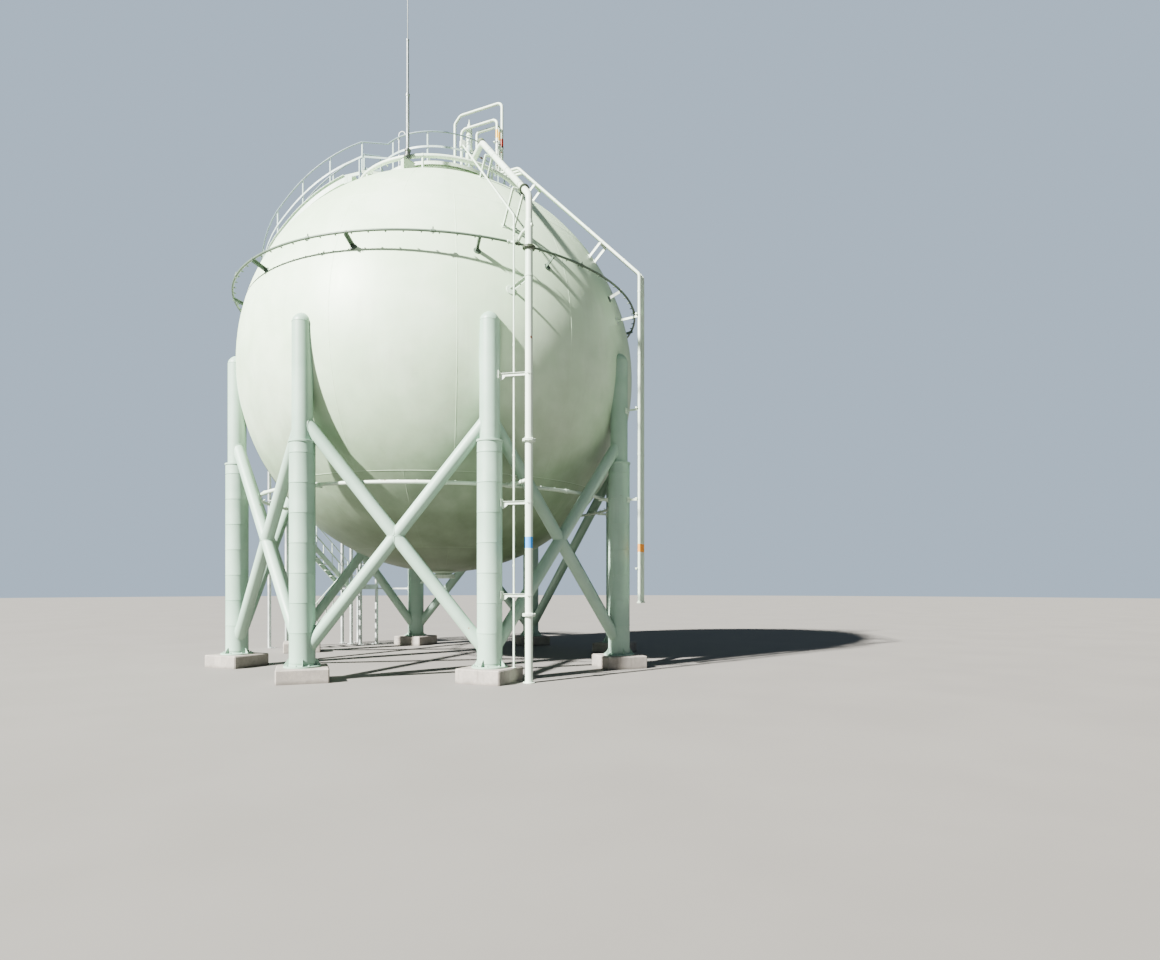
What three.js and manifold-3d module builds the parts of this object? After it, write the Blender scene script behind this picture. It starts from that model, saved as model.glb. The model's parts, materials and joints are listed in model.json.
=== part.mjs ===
import * as THREE from 'three';
import { mergeVertices } from 'three/addons/utils/BufferGeometryUtils.js';
import Module from 'manifold-3d';

// A spherical gas tank on eight pipe columns with tubular cross bracing, its water spray rings,
// riser, relief pipes, top platform, lightning rod and access stair.
// Millimetres, +Z up. Angles run from the front (-Y) towards +X, about the tank's own axis.
// The origin is the middle of the footprint's box at ground level.

// Shell
const SHELL_RADIUS = 6200;
const SHELL_WALL = 30;
const SHELL_CENTRE = 9050;
const SHELL_SIDES = 40;
const SHELL_STEP_DEG = 9;
const ZONE_SEAMS_DEG = { top_crown: [0, 27], upper_belt: [27, 54], equator_belt: [54, 126],
  lower_belt: [126, 153], bottom_crown: [153, 180] };
// Clearance between pieces that touch on the real tank
const SEAT = 0.3;
// How far a piece is carried past its seat before the neighbour's shape is cut out of it
const BITE = 60;
// How far one part of a piece runs into the next
const LAP = 1;

// Columns, sleeves and plinths
const COLUMN_COUNT = 8;
const COLUMN_FIRST_DEG = 22.5;
const COLUMN_STEP_DEG = 360 / COLUMN_COUNT;
const COLUMN_RING = 6180;
const COLUMN_RADIUS = 254;
const COLUMN_TOP = 9020;
const COLUMN_DOME_DEG = [0, 40];
const COLUMN_SIDES = 12;
const SLEEVE_RADIUS = 315;
const SLEEVE_TOP = 6040;
const SLEEVE_LIP = { radius: 335, height: 50 };
const PLINTH = { side: 1250, height: 360, chamfer: 30 };
const BASE_PLATE = { radius: 450, thickness: 40 };
const GUSSET = { count: 4, height: 170, thickness: 16 };

// Cross bracing
const BRACE_RADIUS = 165;
const BRACE_SIDES = 8;
const BRACE_FOOT = 650;
const BRACE_HEAD = 6650;

// Spray rings
const RING_SIDES = 6;
const RING_STEPS = 32;
// The upper ring stops on both sides of the stair, which crosses its height.
const UPPER_RING = { radius: 6286, height: 11060, pipe: 32, bar: 60, ends: [-92, 241], steps: 30,
  arms: [-89, -68.5, -40, -10, 20, 39, 66, 97, 128, 159, 190, 229] };
const LOWER_RING = { radius: 5575, height: 5030, pipe: 50, bar: 70 };
const TOP_RING = { radius: 2700, height: 15000, pipe: 60, bar: 70, legs: 8, firstLeg: -1 };

// Water riser and conduit
const RISER = { angle: 29.7, ring: 6800, radius: 95, bend: 12080, headRing: 3550, head: 15120,
  bendRadius: 320, tail: 132, sides: 8 };
const RISER_ARMS = { heights: [2170, 4470, 7660], width: 60, height: 70 };
const RISER_COLUMN_DEG = COLUMN_FIRST_DEG;
// The riser's upper arm, from the riser down to a spot on the shell
const RISER_STAY = { from: 10070, angle: 27.8, to: 9920 };
const BRANCH = { radius: 45, flange: 90, thickness: 40, flangeOff: 260, sides: 8, flangeSides: 10 };
const FLANGE = { radius: 165, thickness: 56, sides: 12 };
const RISER_FLANGES = [1680, 6000, 10760];
const RISER_STANDS = { places: [[6262, 300], [4200, 200]], bar: 50 };
const CONDUIT = { angle: 27.3, ring: 6498.5, radius: 24, bend: 11630, headRing: 2120, head: 15810,
  bendRadius: 200, sides: 6, clip: 60 };

// Relief pipes: three side by side, the gooseneck on the right and the two lower loops
const RELIEF = { angle: 66.7, ring: 6900, radius: 43, bend: 11400, headRing: 2900, head: 15420,
  upRing: 2135, spacing: 150, bendRadius: 170, sides: 6, foot: 1900, flange: 72, flangeHeight: 36,
  flangeSides: 12 };
const RELIEF_LOOPS = {
  vent_pipe_gooseneck: { place: 1, top: 17870, downRing: 340, foot: 15200, slope: 220 },
  vent_pipe_middle: { place: 0, top: 17030, downRing: 1290, foot: 16350, slope: 0 },
  vent_pipe_left: { place: -1, top: 17160, downRing: 800, foot: 15190, slope: 0 },
};
const RELIEF_ARMS = [4920, 7540];
const RELIEF_COLUMN_DEG = COLUMN_FIRST_DEG + COLUMN_STEP_DEG;
// The relief pipes' upper arm, from behind them to a spot on the shell
const RELIEF_STAY = { from: 10250, angle: 68.4, to: 10270 };
const RELIEF_STANDS = { rings: [5746, 3540], bar: 50 };

// Top platform: a ring of deck plate on a skirt, with its edge plate
const DECK = { inner: 900, outer: 2050, top: 15240, thickness: 40, edge: 100, edgeWidth: 12,
  skirt: 1850, sides: 28 };
// The landing that joins the deck to the upper flight stands on two legs
const LANDING = { extraWidth: 60, leg: 60, legBack: 170, legSpread: 580, legHeight: 700, railInset: 25 };
const RAIL = { height: 900, mid: 450, radius: 22, post: 20, sides: 4, posts: 10, firstPost: -38,
  postStep: 36, steps: 18 };
const GATE_DEG = [-67, -45];
const MANHOLE = { angle: -113, ring: 450, neck: 300, neckTop: 15560, cover: 400, coverThickness: 90,
  lap: 2, sides: 16 };
const VALVE = { ring: 995, radius: 62, flange: 140, footFlange: 40, inlet: 16050, inletFlange: 70,
  inletCone: 20, body: 115, bodyFoot: 180, bodyTop: 420, coverFoot: 430, coverTop: 480, bonnetFoot: 500,
  bonnetRadius: 80, neckRadius: 70, neckDrop: 330, capRadius: 30, capDrop: 250, tip: 12, top: 17540,
  outlet: 175, sides: 10 };
const BOTTOM_NOZZLE = { pad: 400, neck: 245, neckHeight: 60, flange: 360, bottom: 2640, flangeTop: 2760,
  sides: 16 };
const DRAIN = { angle: -28, ring: 1000, radius: 45, bottom: 2480, flange: 90, flangeHeight: 50, sides: 10 };

// Lightning rod on its bracket in front of the top ring; each stage is radius, then the heights
// over the base where it ends and where the next begins
const ROD = { angle: -9, ring: 2880, base: 14960, top: 19900, plate: 115, plateUnder: 20, plateOver: 30,
  stages: [[48, 1700, 1760], [33.6, 3300, 3360]], tip: 12, point: 200, sides: 8,
  bracketWidth: 320, bracketDepth: 200, bracketSink: 120 };

// Access stair: an upper flight down over the shell and a stair tower from the equator down
const STAIR_WIDTH = 700;
const STAIR_RAIL = { height: 950, mid: 480, radius: 20, inset: 40, postEvery: 4 };
const UPPER_STAIR = { shell: 6650, ring: 2600, angle: -61.5, rise: 220, going: 240, radialShare: 0.88,
  foot: 9450, firstBracket: 2, bracketEvery: 5, bracket: 60, bracketInset: 140, bracketLap: 32,
  bracketReach: 0.12 };
// Where the stringers cross the top spray ring: the notch's width and depth, and its clearance outside
const RING_NOTCH = { wide: 300, clear: 30 };
const TREAD = { depth: 220, thickness: 35, lap: 4 };
const STRINGER = { over: 118, height: 270, width: 12 };
// The levels are those of its landings. The posts of the lower stack are spliced above its lower
// landing's rails. Rails run between, and posts stand at, these shares of a flight's length, and the
// rails of the landings lie a little inside their edges.
const TOWER = { angle: -130, inner: 6850, lane: 740, run: 2250, landing: 850,
  levels: [9440, 7080, 4720, 2360], splice: 3400, plate: 40, post: 100, steps: 10, topInner: 6230,
  railSides: 4, railShares: [0.02, 0.98], postShares: [0.04, 0.5, 0.96], stringerInset: 30,
  railSink: 7 };
// Ties hold the tower to a column under its two lower landings on that side, and brackets hold its
// top landing to the shell.
const TIE = { column: 4, side: 60, drop: 70, bracketIn: 5800, bracketOut: 6500, bracketInset: 100 };

const wasm = await Module();
wasm.setup();

const rad = THREE.MathUtils.degToRad;
const UP = new THREE.Vector3(0, 0, 1);

// A point at an angle about the tank's axis, a distance from it and a height.
function polar(degrees, ring, height) {
  const a = rad(degrees);
  return new THREE.Vector3(ring * Math.sin(a), -ring * Math.cos(a), height);
}

// Height above ground of the shell's upper half at a distance from the axis.
const shellTopAt = (ring) => SHELL_CENTRE + Math.sqrt(SHELL_RADIUS ** 2 - ring ** 2);

// Distance from the axis of the shell at a height.
const shellRingAt = (height) => Math.sqrt(SHELL_RADIUS ** 2 - (height - SHELL_CENTRE) ** 2);

// Six times the volume inside a closed triangle mesh: negative when the faces point in.
function signedVolume(geometry) {
  const p = geometry.attributes.position;
  const [a, b, c] = [new THREE.Vector3(), new THREE.Vector3(), new THREE.Vector3()];
  let sum = 0;
  for (let i = 0; i < geometry.index.count; i += 3) {
    a.fromBufferAttribute(p, geometry.index.getX(i));
    b.fromBufferAttribute(p, geometry.index.getX(i + 1));
    c.fromBufferAttribute(p, geometry.index.getX(i + 2));
    sum += a.dot(b.cross(c));
  }
  return sum;
}

// A geometry with its doubled vertices merged, its empty triangles dropped and its faces out.
function welded(geometry) {
  geometry.deleteAttribute('normal');
  geometry.deleteAttribute('uv');
  const merged = mergeVertices(geometry, 1e-3);
  const kept = [];
  for (let i = 0; i < merged.index.count; i += 3) {
    const [a, b, c] = [0, 1, 2].map((k) => merged.index.getX(i + k));
    if (a !== b && b !== c && c !== a) kept.push(a, b, c);
  }
  merged.setIndex(kept);
  if (signedVolume(merged) < 0) {
    for (let i = 0; i < kept.length; i += 3) [kept[i], kept[i + 1]] = [kept[i + 1], kept[i]];
    merged.setIndex(kept);
  }
  return merged;
}

// A solid from a welded geometry.
const solid = (geometry) => new wasm.Manifold(new wasm.Mesh({
  numProp: 3,
  vertProperties: Float32Array.from(geometry.attributes.position.array),
  triVerts: Uint32Array.from(geometry.index.array),
}));

// Solids joined into one.
const fuse = (parts) => parts.reduce((whole, part) => whole.add(part));

// A geometry from a solid.
function toGeometry(shape) {
  const mesh = shape.getMesh();
  const geometry = new THREE.BufferGeometry();
  geometry.setAttribute('position', new THREE.BufferAttribute(Float32Array.from(mesh.vertProperties), 3));
  geometry.setIndex(new THREE.BufferAttribute(Uint32Array.from(mesh.triVerts), 1));
  geometry.computeVertexNormals();
  return geometry;
}

// A block about its centre, turned about the vertical.
function block(width, depth, height, centre, degrees = 0) {
  const geometry = welded(new THREE.BoxGeometry(width, depth, height));
  geometry.rotateZ(rad(degrees));
  geometry.translate(centre.x, centre.y, centre.z);
  return solid(geometry);
}

// A round bar between two points, tapered when the radii differ.
function bar(from, to, radius, sides, endRadius = radius) {
  const along = to.clone().sub(from);
  const geometry = welded(new THREE.CylinderGeometry(endRadius, radius, along.length(), sides));
  geometry.applyQuaternion(new THREE.Quaternion().setFromUnitVectors(
    new THREE.Vector3(0, 1, 0), along.clone().normalize()));
  const middle = from.clone().add(to).multiplyScalar(0.5);
  geometry.translate(middle.x, middle.y, middle.z);
  return solid(geometry);
}

// A flat bar between two points, its height kept as upright as its slope allows.
function flatBar(from, to, width, height) {
  const along = to.clone().sub(from);
  const geometry = welded(new THREE.BoxGeometry(width, along.length(), height));
  const forward = along.clone().normalize();
  const side = forward.clone().cross(UP).normalize();
  const top = side.clone().cross(forward);
  geometry.applyMatrix4(new THREE.Matrix4().makeBasis(side, forward, top));
  const middle = from.clone().add(to).multiplyScalar(0.5);
  geometry.translate(middle.x, middle.y, middle.z);
  return solid(geometry);
}

// A path through corner points whose corners are rounded; its stations are the straight ends and
// the points of each arc.
class Route extends THREE.Curve {
  constructor(corners, bendRadius, arcSteps = 4) {
    super();
    this.stations = [corners[0]];
    for (let i = 1; i < corners.length - 1; i += 1) {
      if (bendRadius === 0) {
        this.stations.push(corners[i]);
        continue;
      }
      const back = corners[i - 1].clone().sub(corners[i]);
      const ahead = corners[i + 1].clone().sub(corners[i]);
      const turn = Math.PI - back.angleTo(ahead);
      const reach = Math.min(bendRadius * Math.tan(turn / 2), back.length() / 2, ahead.length() / 2);
      const start = corners[i].clone().addScaledVector(back.normalize(), reach);
      const end = corners[i].clone().addScaledVector(ahead.normalize(), reach);
      for (let k = 0; k <= arcSteps; k += 1) {
        const t = k / arcSteps;
        this.stations.push(start.clone().multiplyScalar((1 - t) ** 2)
          .addScaledVector(corners[i], 2 * t * (1 - t)).addScaledVector(end, t ** 2));
      }
    }
    this.stations.push(corners[corners.length - 1]);
  }

  getPoint(t) {
    const last = this.stations.length - 1;
    const place = Math.min(t * last, last);
    const i = Math.min(Math.floor(place), last - 1);
    return this.stations[i].clone().lerp(this.stations[i + 1], place - i);
  }

  getPointAt(t) {
    return this.getPoint(t);
  }

  getTangentAt(t) {
    const last = this.stations.length - 1;
    const i = Math.round(t * last);
    const before = this.stations[Math.max(i - 1, 0)];
    const here = this.stations[i];
    const after = this.stations[Math.min(i + 1, last)];
    const arriving = here.clone().sub(before).normalize();
    const leaving = after.clone().sub(here).normalize();
    return arriving.add(leaving).normalize();
  }
}

// A round pipe along a route.
function pipe(corners, radius, sides, bendRadius) {
  const route = new Route(corners, bendRadius);
  const section = new THREE.Shape();
  for (let i = 0; i < sides; i += 1) {
    const a = (2 * Math.PI * i) / sides;
    section[i ? 'lineTo' : 'moveTo'](radius * Math.cos(a), radius * Math.sin(a));
  }
  section.closePath();
  return solid(welded(new THREE.ExtrudeGeometry(section, {
    steps: route.stations.length - 1, bevelEnabled: false, extrudePath: route,
  })));
}

// A solid of revolution about the vertical from radius and height pairs.
function turned(profile, sides, degrees = 0) {
  const geometry = welded(new THREE.LatheGeometry(profile.map(([r, z]) => new THREE.Vector2(r, z)), sides));
  geometry.rotateX(Math.PI / 2);
  geometry.rotateZ(rad(degrees));
  return solid(geometry);
}

// A round hoop of pipe about the tank's axis.
function hoop(ring, height, radius) {
  const geometry = welded(new THREE.TorusGeometry(ring, radius, RING_SIDES, RING_STEPS));
  geometry.translate(0, 0, height);
  return solid(geometry);
}

// A point of the shell's section, from the top of the sphere.
function shellPoint(degrees, radius) {
  const a = rad(degrees);
  return [degrees === 180 ? 0 : radius * Math.sin(a), SHELL_CENTRE + radius * Math.cos(a)];
}

// One zone of the shell between two angles from its top, a plate of the wall's thickness.
function shellZone([from, to]) {
  const half = THREE.MathUtils.radToDeg(SEAT / 2 / SHELL_RADIUS);
  const start = from === 0 ? 0 : from + half;
  const end = to === 180 ? 180 : to - half;
  const steps = Math.round((to - from) / SHELL_STEP_DEG);
  const angles = Array.from({ length: steps + 1 }, (_, i) => start + ((end - start) * i) / steps);
  const outside = angles.map((a) => shellPoint(a, SHELL_RADIUS));
  const inside = angles.map((a) => shellPoint(a, SHELL_RADIUS - SHELL_WALL));
  if (to === 180) return turned([...outside.reverse(), ...inside], SHELL_SIDES);
  const closing = from === 0 ? [] : [outside[0]];
  return turned([...outside, ...inside.reverse(), ...closing], SHELL_SIDES);
}

// The whole outer shape of the shell, grown by the seat clearance, for cutting what meets it.
function shellEnvelope() {
  const steps = 180 / SHELL_STEP_DEG;
  const profile = Array.from({ length: steps + 1 },
    (_, i) => shellPoint(i * SHELL_STEP_DEG, SHELL_RADIUS + SEAT));
  return turned(profile, SHELL_SIDES);
}

const shellCut = shellEnvelope();

// Angle of a column about the axis.
const columnAngle = (i) => COLUMN_FIRST_DEG + i * COLUMN_STEP_DEG;

// The outline of a column's pipe and fireproof sleeve, grown by a clearance, from its foot up; the
// column itself starts with its base plate.
function columnShaft(i, grow = 0, plated = false) {
  const foot = PLINTH.height + SEAT;
  const plateTop = foot + BASE_PLATE.thickness;
  const start = plated ? [[BASE_PLATE.radius, foot], [BASE_PLATE.radius, plateTop], [SLEEVE_RADIUS, plateTop]]
    : [[SLEEVE_RADIUS + grow, foot]];
  const dome = COLUMN_DOME_DEG.map((a) => [(COLUMN_RADIUS + grow) * Math.cos(rad(a)),
    COLUMN_TOP + (COLUMN_RADIUS + grow) * Math.sin(rad(a))]);
  const profile = [
    [0, foot], ...start, [SLEEVE_RADIUS + grow, SLEEVE_TOP - SLEEVE_LIP.height],
    [SLEEVE_LIP.radius + grow, SLEEVE_TOP - SLEEVE_LIP.height],
    [SLEEVE_LIP.radius + grow, SLEEVE_TOP + grow], [COLUMN_RADIUS + grow, SLEEVE_TOP + grow],
    ...dome, [0, COLUMN_TOP + COLUMN_RADIUS + grow],
  ];
  const shape = turned(profile, COLUMN_SIDES, columnAngle(i));
  const at = polar(columnAngle(i), COLUMN_RING, 0);
  return shape.translate([at.x, at.y, 0]);
}

// A column: pipe with a domed head under the shell's equator, sleeve, base plate and gussets.
function column(i) {
  const at = polar(columnAngle(i), COLUMN_RING, PLINTH.height + SEAT);
  const plateTop = at.clone().setZ(at.z + BASE_PLATE.thickness);
  const parts = [columnShaft(i, 0, true)];
  for (let k = 0; k < GUSSET.count; k += 1) {
    const gusset = new THREE.Shape([new THREE.Vector2(SLEEVE_RADIUS - BITE, 0),
      new THREE.Vector2(BASE_PLATE.radius - GUSSET.thickness, 0),
      new THREE.Vector2(SLEEVE_RADIUS, GUSSET.height),
      new THREE.Vector2(SLEEVE_RADIUS - BITE, GUSSET.height)]);
    const fin = welded(new THREE.ExtrudeGeometry(gusset, { depth: GUSSET.thickness, bevelEnabled: false }));
    fin.translate(0, 0, -GUSSET.thickness / 2);
    fin.rotateX(Math.PI / 2);
    fin.rotateZ(rad(columnAngle(i) + ((k + 0.5) * 360) / GUSSET.count));
    fin.translate(at.x, at.y, plateTop.z - LAP);
    parts.push(solid(fin));
  }
  return fuse(parts).subtract(shellCut);
}

// A concrete plinth, a square block set corner-on to the tank with a chamfered top edge.
function plinth(i) {
  const half = PLINTH.side / 2;
  const square = (side, z) => [[-side, -side, z], [side, -side, z], [side, side, z], [-side, side, z]];
  const points = [...square(half, 0), ...square(half, PLINTH.height - PLINTH.chamfer),
    ...square(half - PLINTH.chamfer, PLINTH.height)];
  const index = [0, 2, 1, 0, 3, 2, 8, 9, 10, 8, 10, 11];
  for (const low of [0, 4]) {
    for (let k = 0; k < 4; k += 1) {
      const next = (k + 1) % 4;
      index.push(low + k, low + next, low + 4 + next, low + k, low + 4 + next, low + 4 + k);
    }
  }
  const geometry = new THREE.BufferGeometry();
  geometry.setAttribute('position', new THREE.Float32BufferAttribute(points.flat(), 3));
  geometry.setIndex(index);
  const at = polar(columnAngle(i), COLUMN_RING, 0);
  geometry.rotateZ(rad(columnAngle(i) + 45));
  geometry.translate(at.x, at.y, 0);
  return solid(geometry);
}

// The crossed tubes of one bay, one running through and the other welded to it.
function brace(i) {
  const [left, right] = [columnAngle(i), columnAngle(i) + COLUMN_STEP_DEG];
  const tube = (low, high) => bar(polar(low, COLUMN_RING, BRACE_FOOT),
    polar(high, COLUMN_RING, BRACE_HEAD), BRACE_RADIUS, BRACE_SIDES);
  return tube(left, right).add(tube(right, left))
    .subtract(columnShaft(i, SEAT)).subtract(columnShaft((i + 1) % COLUMN_COUNT, SEAT));
}

// A pipe bent about the tank's axis from one angle to another.
function arcPipe(ring, height, radius, sides, [from, to], steps) {
  const corners = Array.from({ length: steps + 1 },
    (_, i) => polar(from + ((to - from) * i) / steps, ring, height));
  return pipe(corners, radius, sides, 0);
}

// The upper spray ring, held off the shell by short bars.
function upperRing() {
  const { radius, height, pipe: pipeRadius, bar: side, arms, ends, steps } = UPPER_RING;
  const inner = shellRingAt(height) - BITE;
  const bars = arms.map((a) => (
    block(side, radius - inner, side, polar(a, (radius + inner) / 2, height), a)));
  return fuse([arcPipe(radius, height, pipeRadius, RING_SIDES, ends, steps), ...bars]).subtract(shellCut);
}

// The lower spray ring, held by an arm from each column.
function lowerRing() {
  const { radius, height, pipe: pipeRadius, bar: side } = LOWER_RING;
  const parts = [hoop(radius, height, pipeRadius)];
  for (let i = 0; i < COLUMN_COUNT; i += 1) {
    parts.push(block(side, COLUMN_RING - radius, side,
      polar(columnAngle(i), (radius + COLUMN_RING) / 2, height), columnAngle(i)));
  }
  let ring = fuse(parts);
  for (let i = 0; i < COLUMN_COUNT; i += 1) ring = ring.subtract(columnShaft(i, SEAT));
  return ring;
}

// The top spray ring on short legs around the platform.
function topRing() {
  const { radius, height, pipe: pipeRadius, bar: side, legs, firstLeg } = TOP_RING;
  const parts = [hoop(radius, height, pipeRadius)];
  for (let k = 0; k < legs; k += 1) {
    const angle = firstLeg + (k * 360) / legs;
    const foot = shellTopAt(radius) - BITE;
    parts.push(block(side, side, height - foot, polar(angle, radius, (height + foot) / 2), angle));
  }
  return fuse(parts).subtract(shellCut);
}

// The spot inside the shell's wall where a stay ends.
const shellSpot = ({ angle, to }) => polar(angle, shellRingAt(to) - BITE, to);

// A flange pair on an upright pipe.
const flange = (angle, ring, height) => bar(polar(angle, ring, height - FLANGE.thickness / 2),
  polar(angle, ring, height + FLANGE.thickness / 2), FLANGE.radius, FLANGE.sides);

// The water riser: an upright pipe beside a column, bent over the shell to the top ring.
function waterRiser() {
  const { angle, ring, radius, bend, headRing, head, bendRadius, tail, sides } = RISER;
  const run = pipe([polar(angle, ring, 0), polar(angle, ring, bend), polar(angle, headRing, head),
    polar(angle, TOP_RING.radius + tail, TOP_RING.height)], radius, sides, bendRadius);
  const parts = [run, ...RISER_FLANGES.map((h) => flange(angle, ring, h))];
  const { heights, width, height: depth } = RISER_ARMS;
  for (const height of heights) {
    const from = polar(angle, ring, height);
    parts.push(flatBar(from, polar(RISER_COLUMN_DEG, COLUMN_RING, height), width, depth));
  }
  parts.push(flatBar(polar(angle, ring, RISER_STAY.from), shellSpot(RISER_STAY), width, depth));
  for (const { radius: end, height } of [UPPER_RING, LOWER_RING]) {
    const off = end + BRANCH.flangeOff;
    parts.push(bar(polar(angle, ring, height), polar(angle, end, height), BRANCH.radius, BRANCH.sides));
    parts.push(bar(polar(angle, off, height), polar(angle, off + BRANCH.thickness, height),
      BRANCH.flange, BRANCH.flangeSides));
  }
  for (const [at, spread] of RISER_STANDS.places) {
    parts.push(...stand(RISER, at, radius, spread, RISER_STANDS.bar));
  }
  const { radius: upper, height, pipe: upperPipe, ends, steps } = UPPER_RING;
  return fuse(parts).subtract(columnShaft(0, SEAT)).subtract(shellCut)
    .subtract(hoop(TOP_RING.radius, TOP_RING.height, TOP_RING.pipe + SEAT))
    .subtract(hoop(LOWER_RING.radius, LOWER_RING.height, LOWER_RING.pipe + SEAT))
    .subtract(arcPipe(upper, height, upperPipe + SEAT, RING_SIDES, ends, steps));
}

// A point a distance under a sloping run, square to it, and a distance beside it.
function underRun(run, at, down, shift) {
  const slope = new THREE.Vector2(run.headRing - run.ring, run.head - run.bend).normalize();
  return beside(run.angle, at - slope.y * down, runHeight(run, at) + slope.x * down, shift);
}

// A shelf under a sloping run, a distance below its middle, on two legs that stand square to the run
// on the shell.
function stand(run, at, drop, spread, side) {
  const spot = (down, share) => underRun(run, at, down, share * spread);
  const centre = new THREE.Vector3(0, 0, SHELL_CENTRE);
  const from = spot(0, 0).sub(centre);
  const way = spot(1, 0).sub(spot(0, 0));
  const near = -from.dot(way);
  const reach = near - Math.sqrt(near ** 2 - from.lengthSq() + SHELL_RADIUS ** 2) + BITE;
  const end = 0.5 + side / (2 * spread);
  return [flatBar(spot(drop, -end), spot(drop, end), side, side),
    ...[-0.5, 0.5].map((share) => flatBar(spot(drop, share), spot(reach, share), side, side))];
}

// Height of a sloping run at a distance from the axis.
const runHeight = ({ ring, bend, headRing, head }, at) => (
  bend + ((ring - at) * (head - bend)) / (ring - headRing));

// The thin conduit beside the riser, clipped to the top ring and the platform's rail.
function conduit() {
  const { angle, ring, radius, bend, headRing, head, bendRadius, sides, clip } = CONDUIT;
  const run = pipe([polar(angle, ring, PLINTH.height + SEAT), polar(angle, ring, bend),
    polar(angle, headRing, head)], radius, sides, bendRadius);
  const over = runHeight(CONDUIT, TOP_RING.radius);
  const post = block(clip / 2, clip, over - TOP_RING.height, polar(angle, TOP_RING.radius,
    (over + TOP_RING.height) / 2), angle);
  return run.add(post).subtract(hoop(TOP_RING.radius, TOP_RING.height, TOP_RING.pipe + SEAT));
}

// A point beside a plane through the axis.
function beside(angle, ring, height, offset) {
  const side = polar(angle + 90, offset, 0);
  return polar(angle, ring, height).add(side);
}

// One relief pipe: up beside a column, over the shell to the platform, up, over and down again.
function reliefPipe({ place, top, downRing, foot, slope }) {
  const { angle, ring, radius, bend, headRing, head, upRing, spacing, bendRadius, sides } = RELIEF;
  const at = (r, z) => beside(angle, r, z, place * spacing);
  const end = bar(at(ring, RELIEF.foot), at(ring, RELIEF.foot + RELIEF.flangeHeight), RELIEF.flange,
    RELIEF.flangeSides);
  const crown = slope ? [at(downRing + slope, top), at(downRing, top - slope)] : [at(downRing, top)];
  const last = place === 0 ? [at(VALVE.ring + VALVE.outlet + SEAT, foot)] : [];
  return pipe([at(ring, RELIEF.foot), at(ring, bend), at(headRing, head), at(upRing, head), at(upRing, top),
    ...crown, at(downRing, foot), ...last], radius, sides, bendRadius).add(end);
}

// The arms and stands that carry the three relief pipes, one solid with the middle pipe.
function reliefSupports() {
  const { angle, ring, radius, spacing } = RELIEF;
  const { bar: side } = RELIEF_STANDS;
  const width = 2 * (spacing + radius);
  const back = ring - radius - SEAT - side / 2;
  const ends = RELIEF_ARMS.map((height) => [height, polar(RELIEF_COLUMN_DEG, COLUMN_RING, height)]);
  const parts = [];
  for (const [height, to] of [...ends, [RELIEF_STAY.from, shellSpot(RELIEF_STAY)]]) {
    parts.push(block(width, side, side, polar(angle, back, height), angle));
    parts.push(block(side, radius + side, side, polar(angle, back + radius / 2, height), angle));
    parts.push(flatBar(polar(angle, back, height), to, side, side));
  }
  for (const at of RELIEF_STANDS.rings) {
    const drop = radius + SEAT + side * Math.SQRT1_2;
    parts.push(...stand(RELIEF, at, drop, width, side));
    parts.push(flatBar(underRun(RELIEF, at, 0, 0), underRun(RELIEF, at, drop, 0), side, side));
  }
  return parts;
}

// Stations of the upper flight: each tread is a going further and a rise lower along a sphere a
// little larger than the shell, never steeper than the rise allows.
function upperStations() {
  const { shell, ring, angle, rise, going, radialShare, foot } = UPPER_STAIR;
  const found = [];
  let [r, a, z] = [ring, angle, SHELL_CENTRE + Math.sqrt(shell ** 2 - ring ** 2)];
  while (z > foot) {
    const fall = r / (z - SHELL_CENTRE);
    const share = Math.min(radialShare, rise / (going * fall));
    const out = going * share;
    const round = -Math.sqrt(going ** 2 - out ** 2);
    found.push({ at: polar(a, r, z), ring: r, angle: a, out: out / going, round: round / going });
    a += THREE.MathUtils.radToDeg(Math.atan2(round, r + out));
    z -= out * fall;
    r = Math.sqrt(shell ** 2 - (z - SHELL_CENTRE) ** 2);
  }
  return found;
}

// Unit vectors of a station: along the walk and out to its outer side.
function stationAxes({ angle, out, round }) {
  const radial = polar(angle, 1, 0);
  const tangent = polar(angle + 90, 1, 0);
  const walk = radial.clone().multiplyScalar(out).addScaledVector(tangent, round);
  const outer = radial.clone().multiplyScalar(-round).addScaledVector(tangent, out);
  return { walk, outer };
}

// The first station is the landing's end, and a tread stands at each of the others.
const stations = upperStations();

// The landing's ends and its sideways direction, level with the deck.
function landingLine() {
  const from = polar((GATE_DEG[0] + GATE_DEG[1]) / 2, DECK.outer - DECK.edge, DECK.top);
  const to = stations[0].at.clone().setZ(DECK.top);
  const side = UP.clone().cross(to.clone().sub(from)).normalize();
  return { from, to, side };
}

// The deck ring with its edge plate and the skirt that stands on the crown of the shell.
function deck() {
  const { inner, outer, top, thickness, edge, edgeWidth, skirt, sides } = DECK;
  const under = top - thickness;
  const sole = shellTopAt(skirt) - BITE;
  const profile = [[inner, top], [inner, under], [skirt, under], [skirt, sole], [skirt + edgeWidth, sole],
    [skirt + edgeWidth, under], [outer - edgeWidth, under], [outer - edgeWidth, top - edge],
    [outer, top - edge], [outer, top], [inner, top]];
  const { from, to, side } = landingLine();
  const back = from.clone().sub(to).normalize();
  const parts = [turned(profile, sides), flatBar(from.setZ(top - thickness / 2),
    to.clone().setZ(top - thickness / 2), STAIR_WIDTH + LANDING.extraWidth, thickness)];
  for (const k of [-1, 1]) {
    const leg = to.clone().addScaledVector(back, LANDING.legBack)
      .addScaledVector(side, (k * LANDING.legSpread) / 2);
    parts.push(block(LANDING.leg, LANDING.leg, LANDING.legHeight,
      leg.setZ(top - LANDING.legHeight / 2 - LAP)));
  }
  return fuse(parts).subtract(shellCut);
}

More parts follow.
